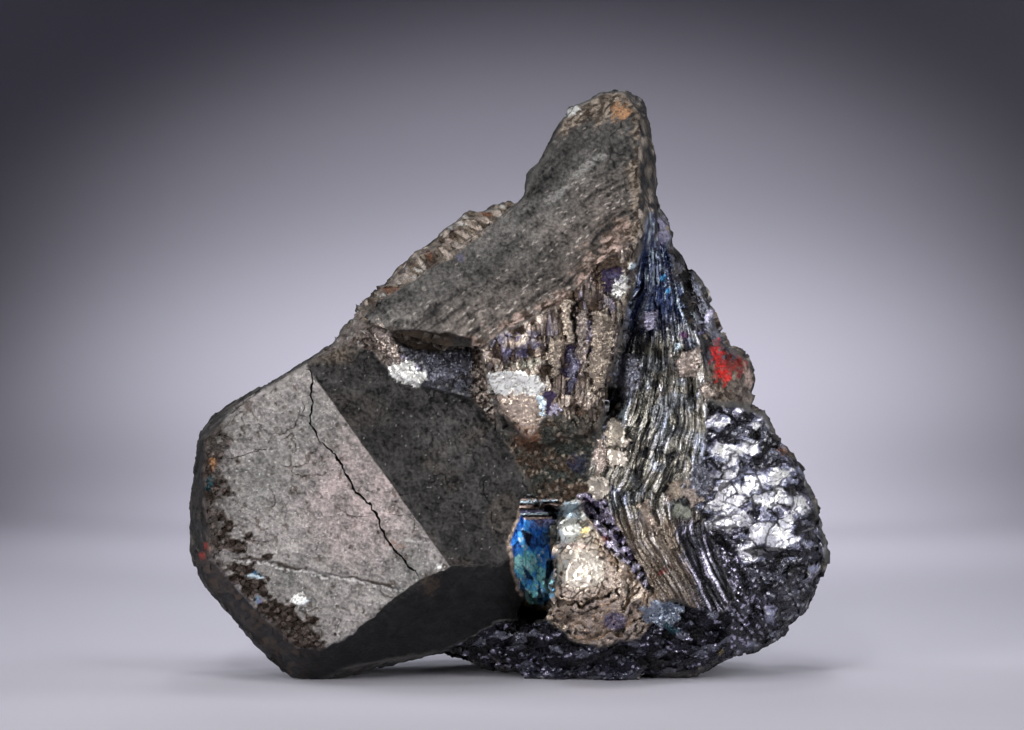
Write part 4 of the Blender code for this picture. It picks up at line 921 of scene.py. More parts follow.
def lay_pocket(surface, seen, area):
    """Tarnished pocket: banded edge above, dark to bright blue crystals below."""
    x, z = seen.T
    upright = pair(x + 0.22 * z, z / 1.7)
    facets, tint, _ = shards(upright, 0.78, 0.6, 0.34, 111)
    fine, spark, _ = shards(upright, 0.22, 0.7, 0.08, 115)
    low = ramp(15.0 - z, 0, 6.5)
    middle = ramp(2.0 - np.hypot(x - 2.3, z - 12.6), 0, 1.2)
    glow = 0.75 * tint + 0.35 * spark + 0.60 * low + 0.50 * middle - 0.42
    colour = mixed(glow * 2.0 + 0.15, TONES["navy"] * 1.5, TONES["cobalt"] * 1.3)
    colour = mixed(glow * 2.2 - 0.68, colour, TONES["sky"] * 1.1)
    colour = mixed(ramp(glow, 0.58, 0.9) * 0.85, colour, TONES["aqua"] * 1.2)
    # Painted glints: pale ice specks
    colour = mixed((spark > 0.90) * (glow > 0.3) * 0.9, colour, TONES["ice"])
    colour = mixed((tint < 0.22) * 0.85, 1.35 * colour, TONES["black"])
    right = ramp(x - 4.0, 0, 0.8) * ramp(spark, 0.3, 0.6)
    colour = mixed(right * 0.6, colour, mixed(tint, TONES["teal"] * 3, TONES["lavender"]))
    top = ramp(z, 16.0, 17.0) * ramp(x, 2.2, 3.8)
    colour = mixed(top * 0.8, colour, shaded(TONES["violet"] * 1.3, spark - 0.4))
    rim = ramp(area["pocket"], -0.50, -0.2) * (x < 5.0)
    surface.lay(rim, 0.10 + fine, mixed(spark, TONES["gold"] * 0.5, TONES["gold_pale"]), CRUST)
    surface.lay(ramp(area["pocket"], 0.0, 0.18), facets + fine - 0.25, colour, TARNISH)
    layers = (z + 0.06 * noise_at(seen, 1.2, 119) - 0.04 * x) / 0.27
    pick = lattice(np.floor(layers)[:, None], 121)
    banded = mixed((pick > 0.35) * 1.0, TONES["black"], TONES["violet"] * 0.7)
    banded = mixed((pick > 0.50) * 1.0, banded, TONES["blush"] * 0.85)
    banded = mixed((pick > 0.80) * 1.0, banded, TONES["ice"] * 0.9)
    surface.lay(ramp(signed_distance(seen, POCKET_LAYERS), -0.05, 0.12), 0.40 * pick - 0.35, banded, CLEAN)


def lay_dome(surface, seen, area):
    """Blue-black shattered crust; its bright cleavages are painted reflections, with painted glints."""
    x, z = seen.T
    wander = pair(fractal(seen, 1.2, 123), fractal(seen, 1.2, 127))
    across, along = turned(seen + 0.28 * wander, 14)
    slabs, slab_tint, slab_gap = shards(pair(along, across), (2.6, 1.9), 0.22, 0.45, 131)
    facets, tint, _ = shards(pair(along, across), (1.3, 0.9), 0.30, 0.20, 135)
    fine, spark, _ = shards(seen, 0.28, 0.7, 0.09, 139)
    cloud = fractal(seen, 2.0, 142, 2)
    colour = mixed(0.9 * tint + 0.3 * cloud, TONES["black"], TONES["night"] * 2.2)
    colour = mixed((tint > 0.72) * 0.6, colour, TONES["slate"] * 0.9)
    # Painted glints: silver specks
    colour = mixed((spark > 0.86) * (0.25 + 0.6 * tint), colour, TONES["silver"] * 0.8)
    share = ramp(area["dome"], -0.1, 0.3)
    surface.lay(share, slabs + facets + fine, colour, CRYSTAL)
    # Painted reflections: silver patches with a dimmer slate-lavender fringe around the listed middles
    glow = np.zeros(len(seen))
    for middle_x, middle_z, wide, high in DOME_REFLECTIONS:
        glow = np.maximum(glow, 1.5 - np.hypot((x - middle_x) / wide, (z - middle_z) / high))
    torn = fractal(seen, 1.1, 147)
    glow = glow - 0.18 * ramp(x, 28, 31)
    glow = glow + 1.00 * (slab_tint - 0.55) + 0.45 * (tint - 0.5) + 0.25 * torn
    reflection_fringe = mixed(0.5 + 0.5 * cloud, TONES["slate"] * (1.4, 1.5, 1.7), TONES["lavender"] * 1.3)
    calm = slabs + 0.30 * facets + 0.08 * fine
    surface.lay(share * ramp(glow, 0.15, 0.45) * 0.85, calm, shaded(reflection_fringe, 0.9 * (tint - 0.5)), CLEAN)
    shine = shaded(TONES["silver"] * (1.15, 1.15, 1.15), 0.08 * (spark - 0.5) + 0.5 * (tint - 0.6))
    surface.lay(share * ramp(glow, 0.50, 0.70) * 0.98, calm, shine, SATIN)
    bent = seen + 0.5 * pair(torn, cloud)
    crack = np.minimum(np.abs(fractal(bent, 1.5, 149, 2)), 0.8 * slab_gap + 0.2 * (tint > 0.7))
    surface.lay(share * ramp(0.10 - crack, 0, 0.06) * 0.85, surface.height - 0.08, TONES["black"], CRUST)
    gash = signed_distance(seen, DOME_GASH)
    surface.lay(ramp(gash + 0.15 * cloud, -0.1, 0.1) * 0.9, surface.height - 0.5, TONES["black"], MATT)
    across, along = turned(seen, -52)
    slats, slat_tint, _ = shards(pair(across, along / 4), 0.42, 0.7, 0.30, 143)
    flow = share * ramp(5.2 - path_distance(seen, LAMELLAE_RIGHT[6:])[0] + 0.6 * cloud, 0, 1.2)
    flow = flow * ramp(17.0 - z, 0, 1)
    dull = mixed(slat_tint + 0.4 * spark - 0.35, TONES["black"], TONES["slate"] * 0.8)
    # Painted glints: lilac specks on the dull lamellae
    dull = mixed((spark > 0.72) * (slat_tint > 0.40) * 0.9, dull, TONES["lilac"] * 1.1)
    surface.lay(flow, slats + fine, dull, CRYSTAL)


def lay_shelf(surface, seen, area):
    """Dark granular foot under the lump and the dome."""
    facets, tint, _ = shards(seen, (1.5, 0.8), 0.45, 0.34, 151)
    fine, spark, _ = shards(seen, (0.32, 0.24), 0.8, 0.12, 155)
    cloud = fractal(seen, 2.4, 158, 2)
    colour = mixed(0.8 * tint + 0.4 * cloud, TONES["black"] * 0.8, TONES["night"] * 1.7)
    colour = mixed((spark > 0.82) * (tint + 0.4 * cloud > 0.45) * 0.8, colour, TONES["slate"] * 1.4)
    colour = mixed((spark > 0.94) * (tint > 0.4) * 0.8, colour, TONES["lilac"])
    colour = mixed((tint > 0.86) * 0.6, colour, TONES["slate"] * 1.2)
    surface.lay(ramp(area["shelf"], -0.1, 0.3), facets + fine, colour, CRYSTAL)


def lay_rim(surface, seen, area):
    """Crusty comb of short tan columns along the upper left edge."""
    across, along = turned(seen, 40)
    comb = pair(along + 0.35 * across, across / 2.6)
    columns, tint, gap = shards(comb, 0.70, 0.45, 0.36, 161)
    fine, spark, _ = shards(pair(along, across / 2), 0.24, 0.6, 0.12, 165)
    soft = fractal(seen, 0.9, 168)
    colour = mixed(1.2 * tint + 0.4 * soft - 0.1, TONES["umber"] * 1.2, TONES["tan"] * 1.2)
    colour = mixed((tint > 0.70) * 0.5, colour, TONES["pinkgrey"] * 1.3)
    colour = mixed((tint < 0.12) * 0.6, colour, TONES["rust"])
    colour = shaded(colour, 0.8 * (spark - 0.5))
    # Painted highlights: white specks on the lighter columns
    colour = mixed((spark > 0.90) * (tint > 0.4) * 0.7, colour, TONES["white"] * 0.7)
    colour = mixed(ramp(0.12 - gap, 0, 0.08) * 0.75, colour, TONES["umber"] * 0.6)
    surface.lay(ramp(area["rim"], -0.1, 0.25), columns + fine, colour, CRUST)


def lay_plates(surface, seen):
    """Single cleavage facets with crumbling edges, each with its own tilt and tone; white ones are painted
    reflections.
    """
    wander = pair(fractal(seen, 0.9, 171, 3), fractal(seen, 0.9, 175, 3))
    chip, chip_tint, _ = shards(seen, (0.50, 0.42), 0.5, 0.14, 177)
    fine, spark, _ = shards(seen, 0.20, 0.5, 0.06, 179)
    mottle = fractal(seen, 0.7, 181)
    for number, (tone, lift, tilt_x, tilt_z, stripe, outline) in enumerate(PLATES):
        corners = np.array(outline)
        low, high = corners.min(0) - 0.9, corners.max(0) + 0.9
        near = np.flatnonzero(np.all((seen > low) & (seen < high), axis=1))
        if not len(near):
            continue
        place = seen[near] + 0.30 * wander[near]
        gap = signed_distance(place, outline)
        ragged = gap + 0.34 * (chip_tint[near] - 0.6) + 0.14 * (spark[near] - 0.5)
        share = ramp(ragged, -0.08, 0.10)
        away = place - corners.mean(0)
        height = 0.55 * lift + tilt_x * away[:, 0] + tilt_z * away[:, 1]
        lightness = TONES[tone].mean()
        crumble = 0.12 if lightness > SATIN_TONE else 0.6
        height = height + crumble * (chip[near] + fine[near]) + 0.02 * mottle[near]
        size = np.abs(away).max()
        # Each plate is brightest in its middle and darker toward its edge; on the white ones this shapes
        # the painted reflection
        glow = 1 - 0.45 * ramp(np.hypot(away[:, 0], away[:, 1]) / size, 0.3, 1.0)
        colour = TONES[tone] * glow[:, None]
        colour = shaded(colour, 0.16 * mottle[near] + 0.30 * crumble * (chip_tint[near] - 0.5)
                        + 0.12 * crumble * (spark[near] - 0.5))
        pitted = ramp(mottle[near], 0.65, 1.0)
        colour = mixed(0.7 * pitted, colour, TONES["umber"] * 1.3)
        if stripe:
            across, _ = turned(place, stripe)
            across = across + 0.10 * mottle[near]
            band = lattice(np.floor(across / STRIPE_PERIOD)[:, None], 200 + number)
            hair = lattice(np.floor(across / 0.15)[:, None], 240 + number)
            height = height + STRIPE_DEPTH * (2 * band - 1) + 0.05 * hair
            colour = colour * (0.40 + 0.60 * band + 0.35 * hair)[:, None]
        finish = CLEAN if stripe or lightness > CLEAN_TONE else CRUST
        if lightness > SATIN_TONE:
            finish = SATIN
        few = surface.part(near)
        few.lay(share, height, colour, finish)
        surface.put(near, few)
    cracks = shards(seen + 0.15 * wander, (1.3, 0.7), 0, 0, 191)[2]
    light = ramp(surface.colour.mean(1), 0.42, 0.6)
    surface.lay(0.85 * light * ramp(0.07 - cracks, 0, 0.05), surface.height - 0.05,
                TONES["umber"], CRUST)


def lay_stains_and_glints(surface, seen):
    """Small spots of colour with ragged edges: stains, and painted glints where marked."""
    ragged = fractal(seen, 0.55, 195)
    spark = lattice(np.floor(seen / 0.2), 199)
    for tone, strength, x, z, wide, high, angle in STAINS_AND_GLINTS:
        reach = max(wide, high) * 1.6
        near = np.flatnonzero(np.hypot(seen[:, 0] - x, seen[:, 1] - z) < reach)
        if not len(near):
            continue
        up, along = turned(seen[near] - (x, z), angle)
        fade = 1 - np.hypot(along / wide, up / high) + 0.45 * ragged[near]
        share = strength * ramp(fade, 0.0, 0.45) * (0.45 + 0.55 * (spark[near] > 0.25))
        few = surface.part(near)
        few.lay(share, None, shaded(TONES[tone], 0.5 * (spark[near] - 0.5)), None)
        surface.put(near, few)


def front_surface(seen):
    """Relief, colour and finish of everything that the camera sees."""
    wander = pair(fractal(seen, 1.3, 5), fractal(seen, 1.3, 8))
    area = regions(seen, wander)
    surface = Surface(len(seen))
    lay_edge(surface, seen)
    layers = ((lay_pale, "pale"), (lay_dark, "dark"), (lay_peak, "peak"), (lay_under, "under"),
              (lay_ledge, "ledge"), (lay_throat, "throat"), (lay_gold, "gold"), (lay_rim, "rim"),
              (lay_strip, "strip"), (lay_shoulder, "shoulder"), (lay_ribbon, "ribbon"),
              (lay_dome, "dome"), (lay_shelf, "shelf"), (lay_lump, "lump"),
              (lay_glitter, "glitter"), (lay_pocket, "pocket"))
    for lay, name in layers:
        inside = area[name]
        if name == "ledge":
            inside = np.maximum(inside, area["under_peak"])
        near = np.flatnonzero(inside > -0.8)
        few = surface.part(near)
        lay(few, seen[near], {other: values[near] for other, values in area.items()})
        surface.put(near, few)
    lay_plates(surface, seen)
    lay_stains_and_glints(surface, seen)
    return surface, area


# Relief and colour of the sides, top and back

def rough_surface(points, normals):
    """Broken metal away from the front: cleavage facets, grain and dark crust."""
    surface = Surface(len(points))
    slant = points @ np.array([[0.82, -0.18, 0.54], [0.30, 0.94, -0.14], [-0.48, 0.28, 0.83]]).T
    warped = slant + 0.35 * fractal(points, 2.2, 207, 2)[:, None]
    broad, broad_tint, _ = shards(warped, (4.6, 3.6, 2.2), 0.30, 0.30, 211)
    facets, tint, gap = shards(warped, (1.6, 1.25, 0.8), 0.40, 0.26, 217)
    fine, spark, _ = shards(slant, (0.55, 0.5, 0.4), 0.5, 0.10, 221)
    mottle = fractal(points, 5.0, 223)
    patch = fractal(points, 1.3, 227)
    cleaved = broad_tint > 0.62
    phase = np.where(broad_tint > 0.8, slant[:, 0] + 0.4 * slant[:, 1], slant[:, 2] - 0.3 * slant[:, 0])
    lines = lattice(np.floor((phase + 0.06 * patch) / 0.42)[:, None], 229)
    colour = mixed(0.5 + 0.5 * patch, TONES["crust"] * 0.6, TONES["crust"] * 1.6)
    metal = mixed(tint, TONES["slab"] * 0.6, TONES["tan"] * 0.8)
    colour = mixed(cleaved * (0.35 + 0.4 * tint), colour, metal)
    colour = mixed((tint > 0.86) * (0.35 + 0.4 * cleaved), colour, TONES["champagne"] * 0.8)
    colour = mixed((tint < 0.10) * 0.6, colour, TONES["slate"] * 0.8)
    colour = mixed(ramp(mottle, 0.45, 0.8) * 0.6, colour, TONES["gold"] * (0.35 + 0.6 * tint)[:, None])
    colour = mixed(ramp(-mottle, 0.72, 0.95) * (tint > 0.5) * 0.4, colour, TONES["violet"])
    colour = shaded(colour, cleaved * 0.7 * (lines - 0.5) + 0.5 * (spark - 0.5))
    colour = mixed(ramp(0.08 - gap, 0, 0.07) * 0.6, colour, TONES["black"])
    height = broad + facets + fine + 0.04 * patch + cleaved * 0.10 * (lines - 0.5)
    calm = ramp(-5.0 - points[:, 0], 0, 4) * ramp(38.0 - points[:, 2], 0, 3)
    calm = np.maximum(calm, ramp(points[:, 2] - 42.0, 0, 4))
    calm = np.maximum(calm, 0.7 * ramp(points[:, 0] - 24.0, 0, 5))
    height = height * (1 - 0.75 * calm)
    dull = mixed(0.5 + 0.4 * mottle + 0.3 * patch, TONES["black"] * 0.8, TONES["slab"] * 0.32)
    dull = mixed(0.6 * ramp(-26.0 - points[:, 0], 0, 4), dull, TONES["under"])
    colour = mixed(0.85 * calm, colour, shaded(dull, 0.5 * (spark - 0.5) + 0.5 * (tint - 0.5)))
    finish = mixed(0.6 * cleaved, np.tile(np.array(CRUST), (len(points), 1)), np.array(CLEAN))
    finish = mixed(0.8 * calm, finish, np.array(SOOTY))
    surface.lay(np.ones(len(points)), height, colour, finish)
    return surface


# Mesh helpers

def mesh_arrays(mesh):
    """Vertex places in the layout's millimetres, vertex normals and edges."""
    count = len(mesh.vertices)
    places = np.zeros(count * 3)
    mesh.vertices.foreach_get("co", places)
    normals = np.zeros(count * 3)
    mesh.vertices.foreach_get("normal", normals)
    edges = np.zeros(len(mesh.edges) * 2, np.int32)
    mesh.edges.foreach_get("vertices", edges)
    return places.reshape(-1, 3), normals.reshape(-1, 3), edges.reshape(-1, 2)


def smoothed(places, edges, rounds, share):
    """Vertex places drawn toward the middle of their neighbours."""
    count = len(places)
    ends = np.concatenate([edges[:, 0], edges[:, 1]])
    others = np.concatenate([edges[:, 1], edges[:, 0]])
    degree = np.maximum(np.bincount(ends, minlength=count), 1)
    for _ in range(rounds):
        middle = [np.bincount(ends, weights=places[others, axis], minlength=count) / degree
                  for axis in range(3)]
        places = places + share * (np.stack(middle, axis=1) - places)
    return places


def linked(name, data):
    """New object in the scene for a mesh, a light or a camera."""
    piece = bpy.data.objects.new(name, data)
    bpy.context.scene.collection.objects.link(piece)
    return piece


def modified(piece, kind, **settings):
    """The piece with one modifier applied to its mesh."""
    modifier = piece.modifiers.new(kind.lower(), kind)
    for name, value in settings.items():
        setattr(modifier, name, value)
    layer = bpy.context.evaluated_depsgraph_get()
    mesh = bpy.data.meshes.new_from_object(piece.evaluated_get(layer))
    piece.modifiers.clear()
    piece.data = mesh
    return piece


def plane(face):
    """A point and the normal of the plane through three points."""
    first, second, third = (np.array(point) for point in face)
    return first, np.cross(second - first, third - first)


def plane_depth(face, places):
    """The y of a plane at each place's x and z."""
    first, normal = plane(face)
    return first[1] - ((places - first) @ (normal * (1, 0, 1))) / normal[1]


def on_picture(points):
    """Places on the plane y = 0 for points of the front view."""
    return np.stack([points[:, 0], np.zeros(len(points)), points[:, 1]], axis=1)


def view_rays(places):
    """Unit directions from the camera to each place."""
    rays = places - EYE
    return rays / np.linalg.norm(rays, axis=1)[:, None]


def store_look(mesh, surface):
    """Writes colour and finish to the mesh for its material."""
    for name, values in (("tint", surface.colour), ("finish", surface.finish)):
        if name in mesh.color_attributes:
            mesh.color_attributes.remove(mesh.color_attributes[name])
        layer = mesh.color_attributes.new(name, "FLOAT_COLOR", "POINT")
        packed = np.ones((len(values), 4))
        packed[:, :values.shape[1]] = np.clip(values, 0, 1)
        layer.data.foreach_set("color", packed.ravel())


def in_box(places):
    """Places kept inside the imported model's box."""
    low = np.array(cad_box[0]) / MM + LAYOUT_SHIFT
    high = np.array(cad_box[1]) / MM + LAYOUT_SHIFT
    return np.clip(places, low + BOX_MARGIN, high - BOX_MARGIN)


def set_places(mesh, places):
    """Moves a mesh's vertices to places in the layout's millimetres."""
    mesh.vertices.foreach_set("co", places.astype(np.float32).ravel())
    mesh.update()


# The base body, and rays from the camera onto it

def base_body():
    """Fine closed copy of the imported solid, smooth and flat where it is cleaved flat."""
    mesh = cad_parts[NODE].data.copy()
    places, _, _ = mesh_arrays(mesh)
    set_places(mesh, places / MM + LAYOUT_SHIFT)
    body = linked("bismuth_body", mesh)
    modified(body, "REMESH", mode="VOXEL", voxel_size=BODY_VOXEL)
    places, _, edges = mesh_arrays(body.data)
    places = smoothed(places, edges, 3, 0.5)
    set_places(body.data, places)
    places, normals, _ = mesh_arrays(body.data)
    seen = seen_from_front(places)
    front = normals[:, 1] < -0.25
    for names, faces in FLAT_FACES:
        inside = np.max([signed_distance(seen, OUTLINES[name]) for name in names], axis=0)
        depth = np.max([plane_depth(face, places) for face in faces], axis=0)
        share = front * ramp(inside, -0.1, 0.5) * (np.abs(places[:, 1] - depth) < FLAT_REACH)
        places[:, 1] += share * (depth - places[:, 1])
    set_places(body.data, places)
    return body


def plane_reach(face, rays):
    """Distance from the camera to a plane along each ray."""
    first, normal = plane(face)
    return ((first - EYE) @ normal) / (rays @ normal)


def levelled(distance, area, rays, shape):
    """The distance with the flat faces made exactly flat and the pocket filled."""
    for names, faces in FLAT_FACES:
        inside = np.max([area[name] for name in names], axis=0)
        reach = np.max([plane_reach(face, rays) for face in faces], axis=0)
        gap = np.nan_to_num(reach - distance, nan=9.0)
        share = ramp(inside, -0.1, 0.4) * (np.abs(gap) < 1.5)
        distance = distance + share * np.where(share > 0, gap, 0)
    pocket = area["pocket"]
    around = (pocket > -0.5) & (pocket < -0.1) & ~np.isnan(distance)
    row, column = np.divmod(np.arange(len(distance)), shape[1])
    basis = np.stack([np.ones(len(distance)), row, column], axis=1)
    fit = np.linalg.lstsq(basis[around], distance[around], rcond=None)[0]
    filled = np.minimum(distance, basis @ fit)
    return np.where(pocket > -0.2, distance + ramp(pocket, -0.2, 0.4) * (filled - distance), distance)


def surface_tree(mesh):
    """Search tree of a mesh's faces."""
    places, _, _ = mesh_arrays(mesh)
    mesh.calc_loop_triangles()
    corners = np.zeros(len(mesh.loop_triangles) * 3, np.int32)
    mesh.loop_triangles.foreach_get("vertices", corners)
    return bvhtree.BVHTree.FromPolygons(places.tolist(), corners.reshape(-1, 3).tolist())


def cast(tree, targets):
    """Distance from the camera to the surface along the rays through targets."""
    start = Vector(EYE)
    found = np.full(len(targets), np.nan)
    for index, ray in enumerate(view_rays(targets)):
        found_at = tree.ray_cast(start, Vector(ray))[3]
        if found_at is not None:
            found[index] = found_at
    return found


# The fine front skin

def spread_mask(mask, rounds, widen):
    """A grid mask with its edge moved outward, or inward where widen is False."""
    for _ in range(rounds):
        grown = mask.copy()
        for axis, step in NEIGHBOURS:
            moved = np.roll(mask, step, axis)
            grown = (grown | moved) if widen else (grown & moved)
        mask = grown
    return mask


def front_grid(tree):
    """Grid over the front with the distance to the base body, and who owns each block."""
    (left, bottom), (right, top) = GRID_BOX
    columns = BLOCK * math.ceil((right - left) / (GRID * BLOCK)) + 1
    rows = BLOCK * math.ceil((top - bottom) / (GRID * BLOCK)) + 1
    shape = (rows, columns)
    across, up = left + GRID * np.arange(columns), bottom + GRID * np.arange(rows)
    flat = np.stack(np.meshgrid(across, up), axis=2).reshape(-1, 2)
    area = regions(flat)
    names = [name for group in FRONT_PIECES.values() for name in group]
    reach = np.stack([area[name] for name in names])
    covered = reach.max(0) > -OVERLAP
    targets = on_picture(flat)
    distance = np.full(len(flat), np.nan)
    distance[covered] = cast(tree, targets[covered])
    distance = distance.reshape(shape)
    for _ in range(4):
        total = np.zeros(shape)
        weight = np.zeros(shape)
        for axis, step in NEIGHBOURS + ((0, 0),):
            moved = np.roll(distance, step, axis)
            close = np.abs(moved - distance) < 0.5
            total += np.where(close, moved, 0)
            weight += close
        distance = np.where(weight > 0, total / np.maximum(weight, 1), distance)
    distance = levelled(distance.ravel(), area, view_rays(targets), shape).reshape(shape)
    slope = np.zeros(shape)
    for axis in (0, 1):
        step = np.abs(np.roll(distance, -1, axis) - np.roll(distance, 1, axis)) / (2 * GRID)
        slope = np.maximum(slope, np.nan_to_num(step, nan=9.0))
    kept = ~np.isnan(distance) & (slope < STEEPEST)
    kept = spread_mask(spread_mask(kept, 1, False), 1, True)
    kept = spread_mask(spread_mask(kept, 2, True), 2, False) & ~np.isnan(distance)
    group_of = [group for group, members in enumerate(FRONT_PIECES.values()) for _ in members]
    owner = np.array(group_of)[reach.argmax(0)].reshape(shape)
    return flat, targets, distance, kept, owner


def rim_distance(kept):
    """How many grid steps each kept node lies inside the edge, up to six."""
    inside = kept.astype(float)
    level = kept
    for _ in range(5):
        level = spread_mask(level, 1, False)
        inside += level
    return inside


def skin_piece(name, places, backs, blocks_kept, look, material):
    """Closed thin shell from the kept blocks of a grid, fine in front and coarse behind."""
    width = blocks_kept.shape[1] * BLOCK + 1
    far = BLOCK * width
    row, column = np.nonzero(blocks_kept)
    first = row * far + column * BLOCK
    step = np.arange(BLOCK)
    corner = (first[:, None] + (step[:, None] * width + step).ravel()).ravel()
    fine = np.stack([corner, corner + 1, corner + width + 1, corner + width], axis=1)
    coarse = np.stack([first, first + far, first + far + BLOCK, first + BLOCK], axis=1)
    front_used, back_used = np.unique(fine), np.unique(coarse)
    front_index = np.zeros(len(places), int)
    front_index[front_used] = np.arange(len(front_used))
    back_index = np.zeros(len(places), int)
    back_index[back_used] = len(front_used) + np.arange(len(back_used))
    padded = np.pad(blocks_kept, 1)
    walls = []
    for (dr, dc), start, stride in (((-1, 0), 0, 1), ((0, 1), BLOCK, width),
                                    ((1, 0), far + BLOCK, -1), ((0, -1), far, -width)):
        edge = (first + start)[~padded[1 + row + dr, 1 + column + dc]]
        begin, end = back_index[edge], back_index[edge + BLOCK * stride]
        for k in range(BLOCK):
            walls.append(np.stack([front_index[edge + (k + 1) * stride],
                                   front_index[edge + k * stride], begin], axis=1))
        walls.append(np.stack([front_index[edge + BLOCK * stride], begin, end], axis=1))
    faces = front_index[fine].tolist() + back_index[coarse].tolist() + np.concatenate(walls).tolist()
    points = np.concatenate([places[front_used], backs[back_used]])
    mesh = bpy.data.meshes.new(name)
    mesh.from_pydata(points.tolist(), [], faces)
    store_look(mesh, look.part(np.concatenate([front_used, back_used])))
    mesh.materials.append(material)
    return linked(name, mesh)


def joined_corners(cells_kept):
    """Drops squares that touch the rest only at a corner."""
    for _ in range(4):
        padded = np.pad(cells_kept, 1)
        here = padded[1:-1, 1:-1]
        for dr, dc in ((-1, -1), (-1, 1), (1, -1), (1, 1)):
            diagonal = padded[1 + dr:padded.shape[0] - 1 + dr, 1 + dc:padded.shape[1] - 1 + dc]
            beside = padded[1 + dr:padded.shape[0] - 1 + dr, 1:-1]
            above = padded[1:-1, 1 + dc:padded.shape[1] - 1 + dc]
            here = here & ~(diagonal & ~beside & ~above)
        cells_kept = here
    return cells_kept


def front_skins(tree, metal, crack):
    """Fine pieces over the whole front, and the mask of what they cover."""
    flat, targets, distance, kept, owner = front_grid(tree)
    rows, columns = (size // BLOCK for size in kept.shape)
    whole = kept[:-1, :-1] & kept[1:, :-1] & kept[:-1, 1:] & kept[1:, 1:]
    blocks = whole.reshape(rows, BLOCK, columns, BLOCK).all(axis=(1, 3))
    middle = owner[BLOCK // 2::BLOCK, BLOCK // 2::BLOCK][:rows, :columns]
    parts = [joined_corners(blocks & (middle == group)) for group in range(len(FRONT_PIECES))]
    square = np.kron(np.any(parts, axis=0), np.ones((BLOCK, BLOCK), bool))
    square = np.pad(square, ((0, 1), (0, 1)))
    kept = square | np.roll(square, 1, 0)
    kept = kept | np.roll(kept, 1, 1)
    chosen = np.flatnonzero(kept)
    look = Surface(len(flat))
    look.put(chosen, front_surface(flat[chosen])[0])
    rays = view_rays(targets)
    sink = RIM_SINK * (1 - ramp(rim_distance(kept).ravel(), 1, 4))
    reach = np.nan_to_num(distance.ravel(), nan=-EYE[1])
    places = EYE + rays * (reach - look.height + SKIN_LIFT + sink)[:, None]
    backs = EYE + rays * (reach + SKIN)[:, None]
    pieces = []
    for name, part in zip(FRONT_PIECES, parts):
        pieces.append(skin_piece(name, places, backs, part, look, metal))
    for piece in pieces[:2]:
        cutter = fissure_cutter(tree)
        # Fissure walls take the near-black material that paints the shade inside the cracks
        cutter.data.materials.append(crack)
        modified(piece, "BOOLEAN", operation="DIFFERENCE", object=cutter, solver="MANIFOLD",
                 material_mode="TRANSFER")
        bpy.data.objects.remove(cutter)
        shown = seen_from_front(mesh_arrays(piece.data)[0])
        store_look(piece.data, front_surface(shown)[0])
    return pieces, spread_mask(kept, 4, False)


# Fissures

def fissure_cutter(tree):
    """Thin jagged wedges that follow the fissures on the front faces."""
    points, faces = [], []
    for width, depth, path in FISSURES:
        line = np.array(path)
        steps = []
        for a, b in zip(line, line[1:]):
            count = max(1, int(round(np.hypot(*(b - a)) / 0.3)))
            steps.extend(a + (b - a) * k / count for k in range(count))
        steps.append(line[-1])
        line = np.array(steps)
        shift = pair(noise_at(line, 0.42, 301), noise_at(line, 0.42, 307))
        line[1:-1] += 0.17 * shift[1:-1]
        targets = on_picture(line)
        rays = view_rays(targets)
        distance = np.maximum(plane_reach(PALE_FACE, rays), plane_reach(DARK_FACE, rays))
        base = len(points)
        for k, place in enumerate(line):
            ahead = line[min(k + 1, len(line) - 1)] - line[max(k - 1, 0)]
            side = np.array([ahead[1], 0, -ahead[0]]) / np.hypot(*ahead)
            fade = min(1.0, 0.35 + 0.65 * min(k, len(line) - 1 - k) / 5)
            half = 0.5 * width * fade * (0.55 + 0.9 * lattice(np.array([[k]]), 311)[0])
            skin = EYE + rays[k] * (distance[k] - 0.6)
            points.append(skin - side * half * 1.5)
            points.append(skin + side * half * 1.5)
            points.append(EYE + rays[k] * (distance[k] + depth * fade))
            if k:
                low = base + 3 * (k - 1)
                faces.extend([(low, low + 3, low + 4, low + 1), (low + 1, low + 4, low + 5, low + 2),
                              (low + 2, low + 5, low + 3, low)])
        last = base + 3 * (len(line) - 1)
        faces.extend([(base, base + 1, base + 2), (last + 2, last + 1, last)])
    mesh = bpy.data.meshes.new("fissures")
    mesh.from_pydata([tuple(point) for point in points], [], faces)
    shape = bmesh.new()
    shape.from_mesh(mesh)
    bmesh.ops.recalc_face_normals(shape, faces=shape.faces)
    bmesh.ops.triangulate(shape, faces=shape.faces)
    shape.to_mesh(mesh)
    shape.free()
    return linked("fissures", mesh)


# The dressed body

def body_look(places, normals, tree):
    """Relief, colour and finish of the body, with the share that the camera sees."""
    seen = seen_from_front(places)
    rays = view_rays(places)
    facing = -np.einsum("ij,ij->i", normals, rays)
    front = facing > 0.05
    reach = np.full(len(places), np.nan)
    reach[front] = cast(tree, places[front])
    length = np.linalg.norm(places - EYE, axis=1)
    visible = front & (np.nan_to_num(reach, nan=0.0) > length - 0.8)
    rough = rough_surface(places, normals)
    lower = ramp(-normals[:, 2], 0.1, 0.5) * ramp(14 - places[:, 2], 0, 4) * (1 - visible)
    rough.lay(lower, None, TONES["under"] * 1.5, MATT)
    chosen = np.flatnonzero(visible)
    look, area = front_surface(seen[chosen])
    outside = np.max(list(area.values()), axis=0) < -0.4
    share = np.zeros(len(places))
    share[chosen] = np.where(outside, 0, ramp(facing[chosen], 0.12, 0.35))
    few = rough.part(chosen)
    few.lay(share[chosen], look.height, look.colour, look.finish)
    rough.put(chosen, few)
    return rough, seen, rays, visible, share


